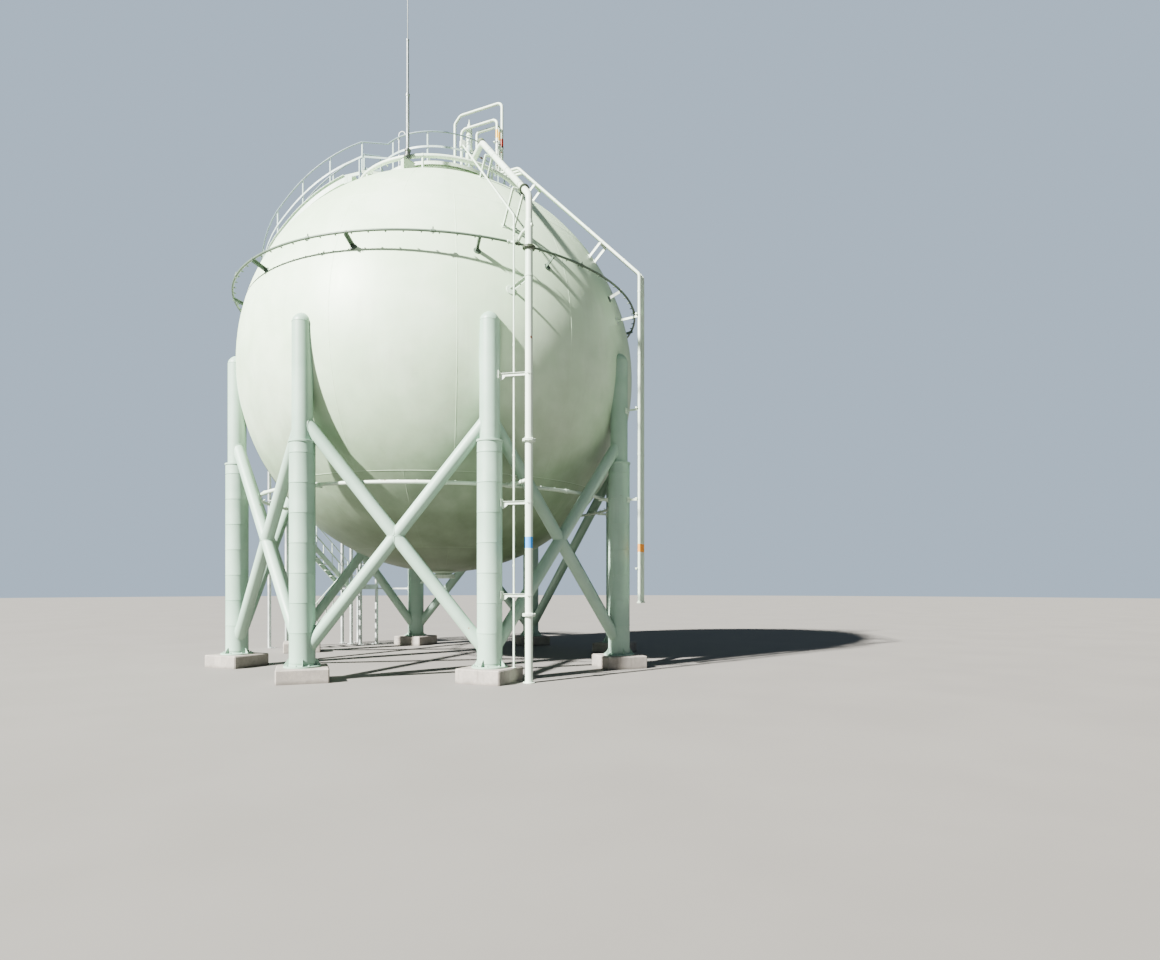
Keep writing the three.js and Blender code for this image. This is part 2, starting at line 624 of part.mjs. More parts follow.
// The platform's railing: two hoops on posts, open at the stair.
function railing() {
  const ring = DECK.outer - RAIL.radius;
  const foot = DECK.top + SEAT;
  const ends = [GATE_DEG[1], GATE_DEG[0] + 360];
  const parts = [[RAIL.height, RAIL.radius], [RAIL.mid, RAIL.post]].map(([height, radius]) => (
    arcPipe(ring, foot + height, radius, RAIL.sides, ends, RAIL.steps)));
  for (let k = 0; k < RAIL.posts; k += 1) {
    const angle = RAIL.firstPost + RAIL.postStep * k;
    parts.push(bar(polar(angle, ring, foot), polar(angle, ring, foot + RAIL.height),
      RAIL.post, RAIL.sides));
  }
  const { to, side } = landingLine();
  for (const [k, gate] of [[-1, GATE_DEG[0]], [1, GATE_DEG[1]]]) {
    const corner = (z) => to.clone().addScaledVector(side, k * (STAIR_WIDTH / 2 - LANDING.railInset))
      .setZ(foot + z);
    parts.push(bar(corner(0), corner(RAIL.height), RAIL.post, RAIL.sides));
    for (const z of [RAIL.mid, RAIL.height]) {
      parts.push(bar(polar(gate, ring, foot + z), corner(z), RAIL.post, RAIL.sides));
    }
  }
  return fuse(parts);
}

// The manhole on the crown: a neck with a bolted cover.
function manhole() {
  const { angle, ring, neck, neckTop, cover, coverThickness, lap, sides } = MANHOLE;
  const at = (z) => polar(angle, ring, z);
  const foot = shellTopAt(ring + neck) - BITE;
  return bar(at(foot), at(neckTop), neck, sides)
    .add(bar(at(neckTop - lap), at(neckTop + coverThickness), cover, sides)).subtract(shellCut);
}

// The relief valve: inlet pipe with flanges, body, spring bonnet and cap.
function reliefValve() {
  const { ring, radius, flange: plate, body, inlet, inletFlange, top, outlet, sides } = VALVE;
  const foot = DECK.top + SEAT;
  const bottom = [[0, foot], [plate, foot], [plate, foot + VALVE.footFlange],
    [radius, foot + VALVE.footFlange], [radius, inlet], [plate, inlet], [plate, inlet + inletFlange],
    [radius, inlet + inletFlange + VALVE.inletCone]];
  const chamber = [[body, inlet + VALVE.bodyFoot], [body, inlet + VALVE.bodyTop],
    [plate, inlet + VALVE.coverFoot], [plate, inlet + VALVE.coverTop]];
  const bonnet = [[VALVE.bonnetRadius, inlet + VALVE.bonnetFoot], [VALVE.neckRadius, top - VALVE.neckDrop],
    [VALVE.capRadius, top - VALVE.capDrop], [VALVE.tip, top], [0, top]];
  const at = polar(RELIEF.angle, ring, 0);
  const height = RELIEF_LOOPS.vent_pipe_middle.foot;
  const nozzle = bar(polar(RELIEF.angle, ring, height), polar(RELIEF.angle, ring + outlet, height),
    radius, sides);
  return turned([...bottom, ...chamber, ...bonnet], sides).translate([at.x, at.y, 0]).add(nozzle);
}

// The nozzle under the shell: a pad, a short neck and a blind flange.
function bottomNozzle() {
  const { pad, neck, neckHeight, flange: plate, bottom, flangeTop, sides } = BOTTOM_NOZZLE;
  const inside = SHELL_CENTRE - SHELL_RADIUS + BITE;
  const profile = [[0, bottom], [plate, bottom], [plate, flangeTop], [neck, flangeTop],
    [neck, flangeTop + neckHeight], [pad, inside], [0, inside]];
  return turned(profile, sides).subtract(shellCut);
}

// The drain pipe beside the bottom nozzle.
function drain() {
  const { angle, ring, radius, bottom, flange: plate, flangeHeight, sides } = DRAIN;
  const at = (z) => polar(angle, ring, z);
  const inside = 2 * SHELL_CENTRE - shellTopAt(ring) + BITE;
  return bar(at(bottom), at(bottom + flangeHeight), plate, sides)
    .add(bar(at(bottom), at(inside), radius, sides)).subtract(shellCut);
}

// The lightning rod, tapered in stages, on a bracket box that stands on the shell.
function lightningRod() {
  const { angle, ring, base, top, plate, plateUnder, plateOver, stages, tip, point, sides } = ROD;
  const sole = shellTopAt(ring) - ROD.bracketSink;
  const profile = [[0, base - plateUnder], [plate, base - plateUnder], [plate, base + plateOver]];
  let from = plateOver;
  for (const [radius, to, next] of stages) {
    profile.push([radius, base + from], [radius, base + to]);
    from = next;
  }
  profile.push([tip, base + from], [tip, top - point], [0, top]);
  const at = polar(angle, ring, 0);
  const box = block(ROD.bracketWidth, ROD.bracketDepth, base - sole, polar(angle, ring, (base + sole) / 2),
    angle);
  return turned(profile, sides).translate([at.x, at.y, 0]).add(box).subtract(shellCut);
}

// A strip of plate on edge that follows points, closed at both ends.
function strip(points, sides, width, height) {
  const corners = [];
  points.forEach((p, i) => {
    for (const [w, h] of [[-0.5, 0], [0.5, 0], [0.5, -1], [-0.5, -1]]) {
      corners.push(p.x + sides[i].x * width * w, p.y + sides[i].y * width * w, p.z + height * h);
    }
  });
  const index = [0, 1, 2, 0, 2, 3];
  const last = 4 * (points.length - 1);
  index.push(last, last + 2, last + 1, last, last + 3, last + 2);
  for (let i = 0; i < points.length - 1; i += 1) {
    for (let k = 0; k < 4; k += 1) {
      const [a, b] = [4 * i + k, 4 * i + ((k + 1) % 4)];
      index.push(a, a + 4, b + 4, a, b + 4, b);
    }
  }
  const geometry = new THREE.BufferGeometry();
  geometry.setAttribute('position', new THREE.Float32BufferAttribute(corners, 3));
  geometry.setIndex(index);
  return solid(welded(geometry));
}

// The upper flight: two stringers, shallower over the top spray ring, and the treads between them.
function upperStair() {
  const axes = stations.map(stationAxes);
  const every = stations.map((_, i) => i).filter((i) => i % 2 === 0 || i === stations.length - 1);
  const parts = [];
  const underLanding = DECK.top - DECK.thickness - SEAT;
  for (const side of [-1, 1]) {
    const line = every.map((i) => stations[i].at.clone().addScaledVector(axes[i].outer,
      (side * STAIR_WIDTH) / 2).setZ(Math.min(stations[i].at.z + STRINGER.over, underLanding)));
    parts.push(strip(line, every.map((i) => axes[i].outer), STRINGER.width, STRINGER.height));
  }
  stations.forEach(({ at }, i) => {
    if (i === 0) return;
    const turn = THREE.MathUtils.radToDeg(Math.atan2(axes[i].walk.y, axes[i].walk.x));
    parts.push(block(TREAD.depth, STAIR_WIDTH + TREAD.lap, TREAD.thickness,
      at.clone().setZ(at.z - TREAD.thickness / 2), turn));
    if (i % UPPER_STAIR.bracketEvery === UPPER_STAIR.firstBracket) {
      const centre = new THREE.Vector3(0, 0, SHELL_CENTRE);
      const inner = at.clone().addScaledVector(axes[i].outer, UPPER_STAIR.bracketInset - STAIR_WIDTH / 2)
        .setZ(at.z - TREAD.thickness - UPPER_STAIR.bracket / 2 + UPPER_STAIR.bracketLap);
      parts.push(flatBar(inner, inner.clone().lerp(centre, UPPER_STAIR.bracketReach),
        UPPER_STAIR.bracket, UPPER_STAIR.bracket));
    }
  });
  const { radius, height, pipe: pipeRadius } = TOP_RING;
  const [inside, outside] = [radius - RING_NOTCH.wide, radius + pipeRadius + RING_NOTCH.clear];
  const [low, high] = [height - RING_NOTCH.wide, height + pipeRadius + SEAT];
  const notch = turned([[inside, low], [outside, low], [outside, high], [inside, high], [inside, low]],
    RING_STEPS);
  return fuse(parts).subtract(shellCut).subtract(notch);
}

// The rails on one side of the upper flight, from its first tread on, on posts that stand on every
// fourth tread and on the last.
function upperRails(side) {
  const axes = stations.map(stationAxes);
  const first = side > 0 ? 0 : 1;
  const last = stations.length - 1;
  const posts = stations.map((_, i) => i)
    .filter((i) => (i > 0 && i < last - 1 && i % STAIR_RAIL.postEvery === first) || i === last);
  const corners = side > 0 ? [1, ...posts] : posts;
  const edge = (i, z) => stations[i].at.clone()
    .addScaledVector(axes[i].outer, side * (STAIR_WIDTH / 2 - STAIR_RAIL.inset))
    .setZ(stations[i].at.z + SEAT + z);
  const parts = [STAIR_RAIL.mid, STAIR_RAIL.height].map((z) => pipe(corners.map((i) => edge(i, z)),
    STAIR_RAIL.radius, RAIL.sides, 0));
  for (const i of posts) {
    parts.push(bar(edge(i, 0), edge(i, STAIR_RAIL.height), STAIR_RAIL.radius, RAIL.sides));
  }
  return fuse(parts);
}

// A point of the stair tower: along it, out from the shell and up.
function towerPoint(along, out, height) {
  return polar(TOWER.angle, out, height).add(polar(TOWER.angle + 90, along, 0));
}

// A block of the stair tower between two corners of its own frame.
function towerBlock([a0, o0, z0], [a1, o1, z1]) {
  return block(Math.abs(a1 - a0), Math.abs(o1 - o0), z1 - z0, towerPoint((a0 + a1) / 2, (o0 + o1) / 2,
    (z0 + z1) / 2), TOWER.angle);
}

// The two ends of flight k: from the landing it leaves to the one it reaches, in the tower's frame.
function flightEnds(k) {
  const { inner, lane, run, levels } = TOWER;
  const sign = k % 2 === 0 ? 1 : -1;
  const out = inner + lane * (k % 2 === 0 ? 1.5 : 0.5);
  return { top: [(sign * run) / 2, out, levels[k]], foot: [(-sign * run) / 2, out, levels[k + 1] ?? 0] };
}

// One stack of the stair tower: its posts, the two landings it carries and their rails.
function towerStack(sign) {
  const { inner, lane, run, landing, levels, plate, post, topInner, railSink } = TOWER;
  const outer = inner + 2 * lane;
  const near = (sign * run) / 2;
  const far = sign * (run / 2 + landing);
  const carried = levels.filter((_, k) => (k % 2 === 0 ? 1 : -1) === sign);
  const parts = [];
  for (const level of carried) {
    const open = level === levels[0];
    parts.push(towerBlock([near, open ? topInner : inner, level - plate], [far, outer, level]));
    for (const z of [level + STAIR_RAIL.mid, level + STAIR_RAIL.height]) {
      const [start, end] = [near + sign * railSink, far - sign * railSink];
      const [back, front] = [inner + railSink, outer - railSink];
      const rails = [[[end, back, z], [end, front, z]], [[start, front, z], [end, front, z]]];
      if (!open) rails.push([[start, back, z], [end, back, z]]);
      for (const [from, to] of rails) {
        parts.push(bar(towerPoint(...from), towerPoint(...to), STAIR_RAIL.radius, TOWER.railSides));
      }
    }
  }
  const top = carried[0] + STAIR_RAIL.height;
  const reach = (sign * post) / 2;
  const spots = [[near + reach, inner + post / 2], [near + reach, inner + lane],
    [near + reach, outer - post / 2], [far - reach, inner + post / 2], [far - reach, outer - post / 2]];
  for (const [along, out] of spots) {
    parts.push(towerBlock([along - post / 2, out - post / 2, 0], [along + post / 2, out + post / 2, top]));
  }
  return fuse([...parts, ...(sign > 0 ? shellBrackets() : columnTies())])
    .subtract(shellCut).subtract(columnShaft(TIE.column, SEAT));
}

// Brackets that hold the tower's top landing to the shell.
function shellBrackets() {
  const { run, landing, levels, plate } = TOWER;
  const { side, bracketIn, bracketOut, bracketInset } = TIE;
  const under = levels[0] - plate;
  return [run / 2 + bracketInset, run / 2 + landing - bracketInset].map((along) => (
    towerBlock([along - side / 2, bracketIn, under - side], [along + side / 2, bracketOut, under + LAP])));
}

// Ties that hold the tower's lower stack to a column.
function columnTies() {
  const { inner, run, landing, levels, post } = TOWER;
  const { column: at, side, drop } = TIE;
  return levels.filter((_, k) => k % 2 === 1).map((level) => {
    const from = towerPoint(post / 2 - run / 2 - landing, inner + post / 2, level - drop);
    return flatBar(from, polar(columnAngle(at), COLUMN_RING, level - drop), side, side);
  });
}

// Flight k of the stair tower: treads between two stringers that carry the posts of its handrails.
function towerFlight(k) {
  const { top, foot } = flightEnds(k);
  const { steps, lane, plate, railSides, railShares, postShares } = TOWER;
  const inward = Math.sign(top[0]) * SEAT;
  const from = towerPoint(top[0] - inward, top[1], top[2] - plate);
  const to = towerPoint(foot[0] + inward, foot[1], foot[2]);
  const outward = polar(TOWER.angle, 1, 0);
  const half = lane / 2 - TOWER.stringerInset;
  const parts = [];
  for (const side of [-1, 1]) {
    const shift = outward.clone().multiplyScalar(side * half);
    const line = [from, to].map((p) => p.clone().add(shift).setZ(p.z + STRINGER.over));
    parts.push(strip(line, [outward, outward], STRINGER.width, STRINGER.height));
    const at = (t, z) => from.clone().lerp(to, t).add(shift)
      .setZ(THREE.MathUtils.lerp(from.z, to.z, t) + z);
    parts.push(bar(at(railShares[0], STAIR_RAIL.height), at(railShares[1], STAIR_RAIL.height),
      STAIR_RAIL.radius, railSides));
    for (const t of postShares) {
      parts.push(bar(at(t, 0), at(t, STAIR_RAIL.height), STAIR_RAIL.radius / 2, railSides));
    }
  }
  for (let i = 1; i < steps; i += 1) {
    const centre = from.clone().lerp(to, i / steps);
    parts.push(block(TREAD.depth, 2 * half, TREAD.thickness, centre.setZ(centre.z - TREAD.thickness / 2),
      TOWER.angle));
  }
  return fuse(parts).trimByPlane([0, 0, 1], 0);
}

const paint = (color, roughness = 0.45, metalness = 0.05) => new THREE.MeshStandardMaterial({
  color, roughness, metalness });
const CELADON = paint(0xd0decd);
const CONCRETE = paint(0x9a938c, 0.9, 0);
const GALVANISED = paint(0xb4b8b4, 0.5, 0.6);

const tank = new THREE.Group();

// Adds one named piece with a material of its own.
function add(name, shape, material = CELADON) {
  const mesh = new THREE.Mesh(toGeometry(shape), material.clone());
  mesh.name = name;
  tank.add(mesh);
}

for (const [zone, seams] of Object.entries(ZONE_SEAMS_DEG)) add(`shell_${zone}`, shellZone(seams));
for (let i = 0; i < COLUMN_COUNT; i += 1) {
  add(`column_${i + 1}`, column(i));
  add(`plinth_${i + 1}`, plinth(i), CONCRETE);
  add(`brace_${i + 1}`, brace(i));
}
add('upper_spray_ring', upperRing());
add('lower_spray_ring', lowerRing());
add('top_spray_ring', topRing());
add('water_riser', waterRiser());
add('conduit', conduit());
for (const [name, loop] of Object.entries(RELIEF_LOOPS)) {
  const extra = loop.place === 0 ? reliefSupports() : [];
  add(name, fuse([reliefPipe(loop), ...extra]).subtract(shellCut).subtract(columnShaft(1, SEAT)));
}
add('platform_deck', deck());
add('platform_railing', railing(), GALVANISED);
add('manhole', manhole());
add('relief_valve', reliefValve());
add('bottom_nozzle', bottomNozzle());
add('drain_pipe', drain());
add('lightning_rod', lightningRod(), GALVANISED);
add('upper_stair', upperStair());
add('stair_tower_upper_stack', towerStack(1), GALVANISED);
const lowerStack = towerStack(-1);
add('stair_tower_lower_stack', lowerStack.trimByPlane([0, 0, 1], TOWER.splice + SEAT / 2), GALVANISED);
add('stair_tower_lower_stack_foot', lowerStack.trimByPlane([0, 0, -1], SEAT / 2 - TOWER.splice),
  GALVANISED);
TOWER.levels.forEach((_, k) => add(`stair_tower_flight_${k + 1}`, towerFlight(k)));
add('upper_stair_outer_rail', upperRails(1), GALVANISED);
add('upper_stair_inner_rail', upperRails(-1), GALVANISED);

// The footprint's middle at ground level becomes the origin.
const footprint = new THREE.Box3().setFromObject(tank);
const middle = footprint.getCenter(new THREE.Vector3());
for (const mesh of tank.children) mesh.geometry.translate(-middle.x, -middle.y, 0);

export default tank;
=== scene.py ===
"""Looks of a spherical gas tank: its plates, legs, spray pipes, platform, stairs and their finishes.

Metres, +Z up, in the frame of the CAD. Shapes are worked out about the tank's own upright axis and
moved onto it when their mesh is made. Angles are degrees from the front (-Y) towards +X.
"""

import itertools
import json
import logging
import math
from abc import ABC, abstractmethod
from collections.abc import Callable, Iterable, Iterator, Sequence
from dataclasses import dataclass, replace
from enum import Enum

import bpy
import numpy as np
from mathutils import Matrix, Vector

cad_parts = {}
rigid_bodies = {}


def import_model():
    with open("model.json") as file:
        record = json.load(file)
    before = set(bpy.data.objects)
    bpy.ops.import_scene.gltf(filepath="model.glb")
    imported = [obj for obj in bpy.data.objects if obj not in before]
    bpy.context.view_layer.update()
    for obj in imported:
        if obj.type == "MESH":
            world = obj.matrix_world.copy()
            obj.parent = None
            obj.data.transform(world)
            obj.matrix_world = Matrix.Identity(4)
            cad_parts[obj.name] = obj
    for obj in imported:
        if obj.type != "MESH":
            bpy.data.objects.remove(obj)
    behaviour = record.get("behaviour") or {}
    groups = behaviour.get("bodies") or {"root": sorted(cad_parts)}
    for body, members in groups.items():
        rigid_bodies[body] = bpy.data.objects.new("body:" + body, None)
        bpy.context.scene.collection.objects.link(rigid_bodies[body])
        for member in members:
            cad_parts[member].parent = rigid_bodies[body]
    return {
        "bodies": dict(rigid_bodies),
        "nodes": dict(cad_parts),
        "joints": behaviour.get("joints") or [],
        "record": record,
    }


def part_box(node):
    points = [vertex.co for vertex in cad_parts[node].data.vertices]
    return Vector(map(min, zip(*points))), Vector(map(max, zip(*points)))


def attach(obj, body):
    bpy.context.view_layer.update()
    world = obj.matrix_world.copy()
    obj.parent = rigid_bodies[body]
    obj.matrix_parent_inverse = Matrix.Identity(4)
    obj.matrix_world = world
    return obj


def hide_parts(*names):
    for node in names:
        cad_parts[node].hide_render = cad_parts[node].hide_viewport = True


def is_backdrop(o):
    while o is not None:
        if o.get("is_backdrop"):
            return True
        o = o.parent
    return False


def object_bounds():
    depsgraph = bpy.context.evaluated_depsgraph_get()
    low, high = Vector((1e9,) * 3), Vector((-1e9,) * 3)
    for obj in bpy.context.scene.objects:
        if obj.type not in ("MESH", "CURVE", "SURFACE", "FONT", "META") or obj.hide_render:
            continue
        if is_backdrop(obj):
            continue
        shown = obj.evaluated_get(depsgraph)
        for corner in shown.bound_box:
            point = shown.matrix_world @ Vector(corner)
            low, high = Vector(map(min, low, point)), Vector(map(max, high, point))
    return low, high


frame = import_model()
CAD_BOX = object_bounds()

LOG = logging.getLogger("spherical_tank")
Array = np.ndarray
Spot = Array | Sequence[float]
Pair, Triple, Row = tuple[float, float], tuple[float, float, float], tuple[float, ...]
UP = np.array([0.0, 0.0, 1.0])
LEVEL = np.eye(3)
GROUND_PLAN = np.array([1.0, 1.0, 0.0])
BOTH = (-1, 1)


def tank_axis() -> Array:
    """Foot of the tank's upright axis, the middle of its equator belt."""
    low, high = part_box("shell_equator_belt")
    return np.array([(low.x + high.x) / 2, (low.y + high.y) / 2, 0.0])


AXIS = tank_axis()

# Geometry


@dataclass(frozen=True)
class Form:
    """Points with four-cornered and three-cornered faces, each a row of point numbers."""

    points: Array
    quads: Array
    tris: Array

    def triangles(self) -> Array:
        """All faces as triangles, a quad split along its first diagonal."""
        return np.concatenate([self.quads[:, [0, 1, 2]], self.quads[:, [0, 2, 3]], self.tris])

    def outward(self) -> "Form":
        """The form with its faces out: the sum of a . (b x c) over its triangles isn't negative."""
        a, b, c = (self.points[corner] for corner in self.triangles().T)
        if np.einsum("ij,ij->", a, np.cross(b, c)) >= 0:
            return self
        return Form(self.points, self.quads[:, ::-1], self.tris[:, ::-1])

    def placed(self, axes: Array, origins: Spot, size: float = 1.0) -> "Form":
        """Copies of the form, point p of copy k at origin_k + axes_k (size p).

        Args:
            axes: One 3 x 3 matrix with the axes as columns, or one for each copy.
            origins: One point for each copy.
            size: Scale of the form.

        Returns:
            All copies as one form.
        """
        origins = np.atleast_2d(np.asarray(origins, float))
        count = len(origins)
        turned = np.einsum("kij,nj->kni", np.broadcast_to(axes, (count, 3, 3)), self.points * size)
        steps = np.arange(count)[:, None, None] * len(self.points)
        return Form((turned + origins[:, None]).reshape(-1, 3), (self.quads + steps).reshape(-1, 4),
            (self.tris + steps).reshape(-1, 3))


Forms = Iterator[Form]


def joined(*parts: Form | Iterable[Form]) -> Form:
    """Forms, and rows of forms, as one."""
    forms = [form for part in parts for form in ([part] if isinstance(part, Form) else part)]
    firsts = np.cumsum([0] + [len(form.points) for form in forms[:-1]])
    return Form(np.concatenate([form.points for form in forms]),
        np.concatenate([form.quads + first for form, first in zip(forms, firsts)]),
        np.concatenate([form.tris + first for form, first in zip(forms, firsts)]))


def unit(vectors: Spot) -> Array:
    """Vectors at a length of one."""
    vectors = np.asarray(vectors, float)
    return vectors / np.linalg.norm(vectors, axis=-1, keepdims=True)


def columns(*axes: Array) -> Array:
    """Axes side by side as the columns of a matrix, or of one matrix for each row of them."""
    return np.stack(axes, axis=-1)


def polar(angle: float | Array, ring: float | Array, height: float | Array) -> Array:
    """Points at an angle about the tank's axis, a distance from it and a height."""
    turn = np.radians(angle)
    return columns(*np.broadcast_arrays(ring * np.sin(turn), -ring * np.cos(turn), height)).astype(float)


def outward_at(angle: float | Array) -> Array:
    """Level unit vector away from the tank's axis at an angle."""
    return polar(angle, 1.0, 0.0)


def round_at(angle: float | Array) -> Array:
    """Level unit vector along the growing angle."""
    return polar(angle + 90.0, 1.0, 0.0)


def radial_axes(angle: float) -> Array:
    """Axes as columns: away from the tank's axis, round it, and up."""
    return columns(outward_at(angle), round_at(angle), UP)


def basis(direction: Array, hint: Array = UP) -> Array:
    """Axes as columns: the third along a direction, the first square to it and to the hint."""
    third = unit(direction)
    if abs(third @ hint) > 0.999:
        hint = LEVEL[1]
    first = unit(np.cross(hint, third))
    return columns(first, np.cross(third, first), third)


def turns(count: int) -> Array:
    """Equal steps of a full turn, in radians."""
    return 2 * np.pi * np.arange(count) / count


def circle(radius: float, sides: int) -> Array:
    """Points of a round section, (r cos a, r sin a)."""
    return columns(radius * np.cos(turns(sides)), radius * np.sin(turns(sides)))


def disc_ring(direction: Array, radius: float, steps: int = 24, start: float = 0.0) -> Array:
    """Points r (cos a u + sin a v) of a circle about the origin, with u and v square to a direction."""
    axes, turn = basis(direction), turns(steps) + start
    return radius * (np.cos(turn)[:, None] * axes[:, 0] + np.sin(turn)[:, None] * axes[:, 1])


def skin(grid: Array, hubs: Array | None = None) -> Form:
    """Faces over a grid of points that closes across its columns.

    Args:
        grid: Points by row and column.
        hubs: The middle of a fan at each end, or None where the rows close on themselves too.

    Returns:
        A closed form with its faces out.
    """
    rows, count = grid.shape[:2]
    i, j = np.arange(rows if hubs is None else rows - 1)[:, None], np.arange(count)
    below, beside = (i + 1) % rows, (j + 1) % count
    corners = [i * count + j, i * count + beside, below * count + beside, below * count + j]
    quads = columns(*np.broadcast_arrays(*corners)).reshape(-1, 4)
    if hubs is None:
        return Form(grid.reshape(-1, 3), quads, np.empty((0, 3), int)).outward()
    hub, last = np.full(count, rows * count), (rows - 1) * count
    tris = np.concatenate([columns(hub, beside, j), columns(last + j, last + beside, hub + 1)])
    return Form(np.concatenate([grid.reshape(-1, 3), hubs]), quads, tris).outward()


def revolve(profile: Sequence[Pair] | Array, sides: int = 48, ring: bool = False,
        origin: Spot = (0.0, 0.0, 0.0), axes: Array = LEVEL) -> Form:
    """Turn a profile about the third axis: point (i, j) is (r_i cos a_j, r_i sin a_j, h_i).

    Args:
        profile: Pairs of radius and height.
        sides: Points around.
        ring: True where the profile closes on itself, clear of the axis.
        origin: Where the profile's origin stands.
        axes: Axes as columns.

    Returns:
        A closed form; an end of the profile that isn't on the axis gets a flat cap.
    """
    line, turn = np.asarray(profile, float), turns(sides)
    body = line if ring else line[line[:, 0] > 1e-9]
    grid = columns(*np.broadcast_arrays(body[:, :1] * np.cos(turn), body[:, :1] * np.sin(turn), body[:, 1:]))
    hubs = None if ring else np.array([[0, 0, line[0, 1]], [0, 0, line[-1, 1]]])
    return skin(grid, hubs).placed(axes, origin)


def loft(path: Array, across: Array, upward: Array, section: Array, closed: bool = False,
        scale: float | Array = 1.0) -> Form:
    """Carry a section along a path: point (i, k) is path_i + s_i (x_k across_i + y_k upward_i).

    Args:
        path: Stations of the path.
        across: Direction of the section's x, one for all stations or one for each.
        upward: Direction of its y in the same way.
        section: Points of the closed section.
        closed: True where the path closes on itself.
        scale: Size of the section, one number or one for each station.

    Returns:
        A closed form, with flat ends where the path is open.
    """
    size = np.broadcast_to(scale, (len(path),))[:, None, None]
    across, upward = (np.broadcast_to(way, path.shape)[:, None] for way in (across, upward))
    grid = path[:, None] + size * (section[:, :1] * across + section[:, 1:] * upward)
    return skin(grid, None if closed else grid[[0, -1]].mean(axis=1))


def sweep(path: Array, section: Array, side: Array = UP, closed: bool = False,
        scale: float | Array = 1.0) -> Form:
    """Carry a section square to a path.

    The binormal is the side vector less its part along the path, and the normal is the binormal
    crossed with the tangent; a tangent halves the corner between its two stretches.

    Args:
        path: Stations of the path.
        section: Points of the section, x along the normal and y along the binormal.
        side: One vector for the whole path, or one for each station.
        closed: True where the path closes on itself.
        scale: Size of the section, one number or one for each station.

    Returns:
        A closed form.
    """
    path = np.asarray(path, float)
    ahead = unit(np.roll(path, -1, axis=0) - path if closed else np.diff(path, axis=0))
    if closed:
        tangent = unit(ahead + np.roll(ahead, 1, axis=0))
    else:
        tangent = unit(np.concatenate([ahead[:1], ahead[:-1] + ahead[1:], ahead[-1:]]))
    side = np.broadcast_to(side, path.shape)
    binormal = unit(side - np.einsum("ij,ij->i", side, tangent)[:, None] * tangent)
    return loft(path, np.cross(binormal, tangent), binormal, section, closed, scale)


def bent(corners: Sequence[Array], radius: float, steps: int = 8) -> Array:
    """A path through corner points, each inner corner rounded to a true arc of a radius."""
    parts = [corners[:1]]
    for before, here, after in zip(corners, corners[1:], corners[2:]):
        back, ahead = before - here, after - here
        reach_limit = 0.49 * min(np.linalg.norm(back), np.linalg.norm(ahead))
        back, ahead = unit(back), unit(ahead)
        turn = math.pi - math.acos(float(np.clip(back @ ahead, -1, 1)))
        reach = min(radius * math.tan(turn / 2), reach_limit)
        bend = reach / math.tan(turn / 2)
        hub = here + unit(back + ahead) * bend / math.cos(turn / 2)
        start, end = here + back * reach - hub, here + ahead * reach - hub
        t = np.linspace(0, 1, steps + 1)[:, None]
        parts.append(hub + (np.sin((1 - t) * turn) * start + np.sin(t * turn) * end) / math.sin(turn))
    return np.concatenate([*parts, corners[-1:]])


def tube(start: Array, end: Array, radius: float, sides: int = 16) -> Form:
    """A straight round bar."""
    return sweep(np.stack([start, end]), circle(radius, sides), basis(end - start)[:, 0])


def pipe(corners: Sequence[Array], radius: float, bend: float, side: Array, sides: int = 24,
        steps: int = 8) -> Form:
    """A round pipe through corner points, in a plane that the side vector is square to."""
    return sweep(bent(corners, bend, steps), circle(radius, sides), side)


def hoop(ring: float, height: float, section: Array, start: float = 0.0, end: float = 360.0,
        step: float = 2.5) -> Form:
    """A section carried round the tank's axis: (ring sin a, -ring cos a, height), a from start to end."""
    closed = end - start >= 360
    angles = np.linspace(start, end, round((end - start) / step) + 1)[:-1 if closed else None]
    return sweep(polar(angles, ring, height), section, UP, closed)


def block_faces() -> tuple[Array, Array, Array, Array]:
    """Signs, face axes, quads and triangles of a box whose edges are cut back.

    Each of the 8 corners has a point on each of its 3 faces: point 8 a + c is corner c on face axis a.
    """
    signs = np.array(list(itertools.product(BOTH, repeat=3)) * 3, float)
    facing = np.repeat(LEVEL, 8, axis=0)
    weights, quads = (4, 2, 1), []
    for a, b, c in ((0, 1, 2), (1, 2, 0), (2, 0, 1)):
        def at(axis: int, *given: int) -> int:
            """Number of the point of one face at the corner with these signs along a, b and c."""
            return 8 * axis + sum(weights[k] for k, sign in zip((a, b, c), given) if sign > 0)
        for s in BOTH:
            quads.append([at(a, s, -1, -1), at(a, s, 1, -1), at(a, s, 1, 1), at(a, s, -1, 1)])
            quads += [[at(a, s, t, -1), at(a, s, t, 1), at(b, s, t, 1), at(b, s, t, -1)] for t in BOTH]
    points = signs * (1 + facing)
    faces = [np.array(quads), np.array([[k, 8 + k, 16 + k] for k in range(8)])]
    for group in faces:
        a, b, c = (points[group[:, k]] for k in range(3))
        turned = np.einsum("ij,ij->i", np.cross(b - a, c - a), a + b + c) < 0
        group[turned] = group[turned][:, ::-1]
    return signs, signs * facing, *faces


BLOCK_SIGNS, BLOCK_FACING, BLOCK_QUADS, BLOCK_TRIS = block_faces()


def block(size: Sequence[float], centre: Spot = (0, 0, 0), axes: Array = LEVEL,
        chamfer: float = 0.004) -> Form:
    """A box with its edges cut back: each point is sign (half - cut), and sign half along its face's axis."""
    half = np.asarray(size, float) / 2
    cut = min(chamfer, 0.4 * half.min())
    points = BLOCK_SIGNS * (half - cut) + BLOCK_FACING * cut
    return Form(points @ np.asarray(axes).T + np.asarray(centre, float), BLOCK_QUADS, BLOCK_TRIS)


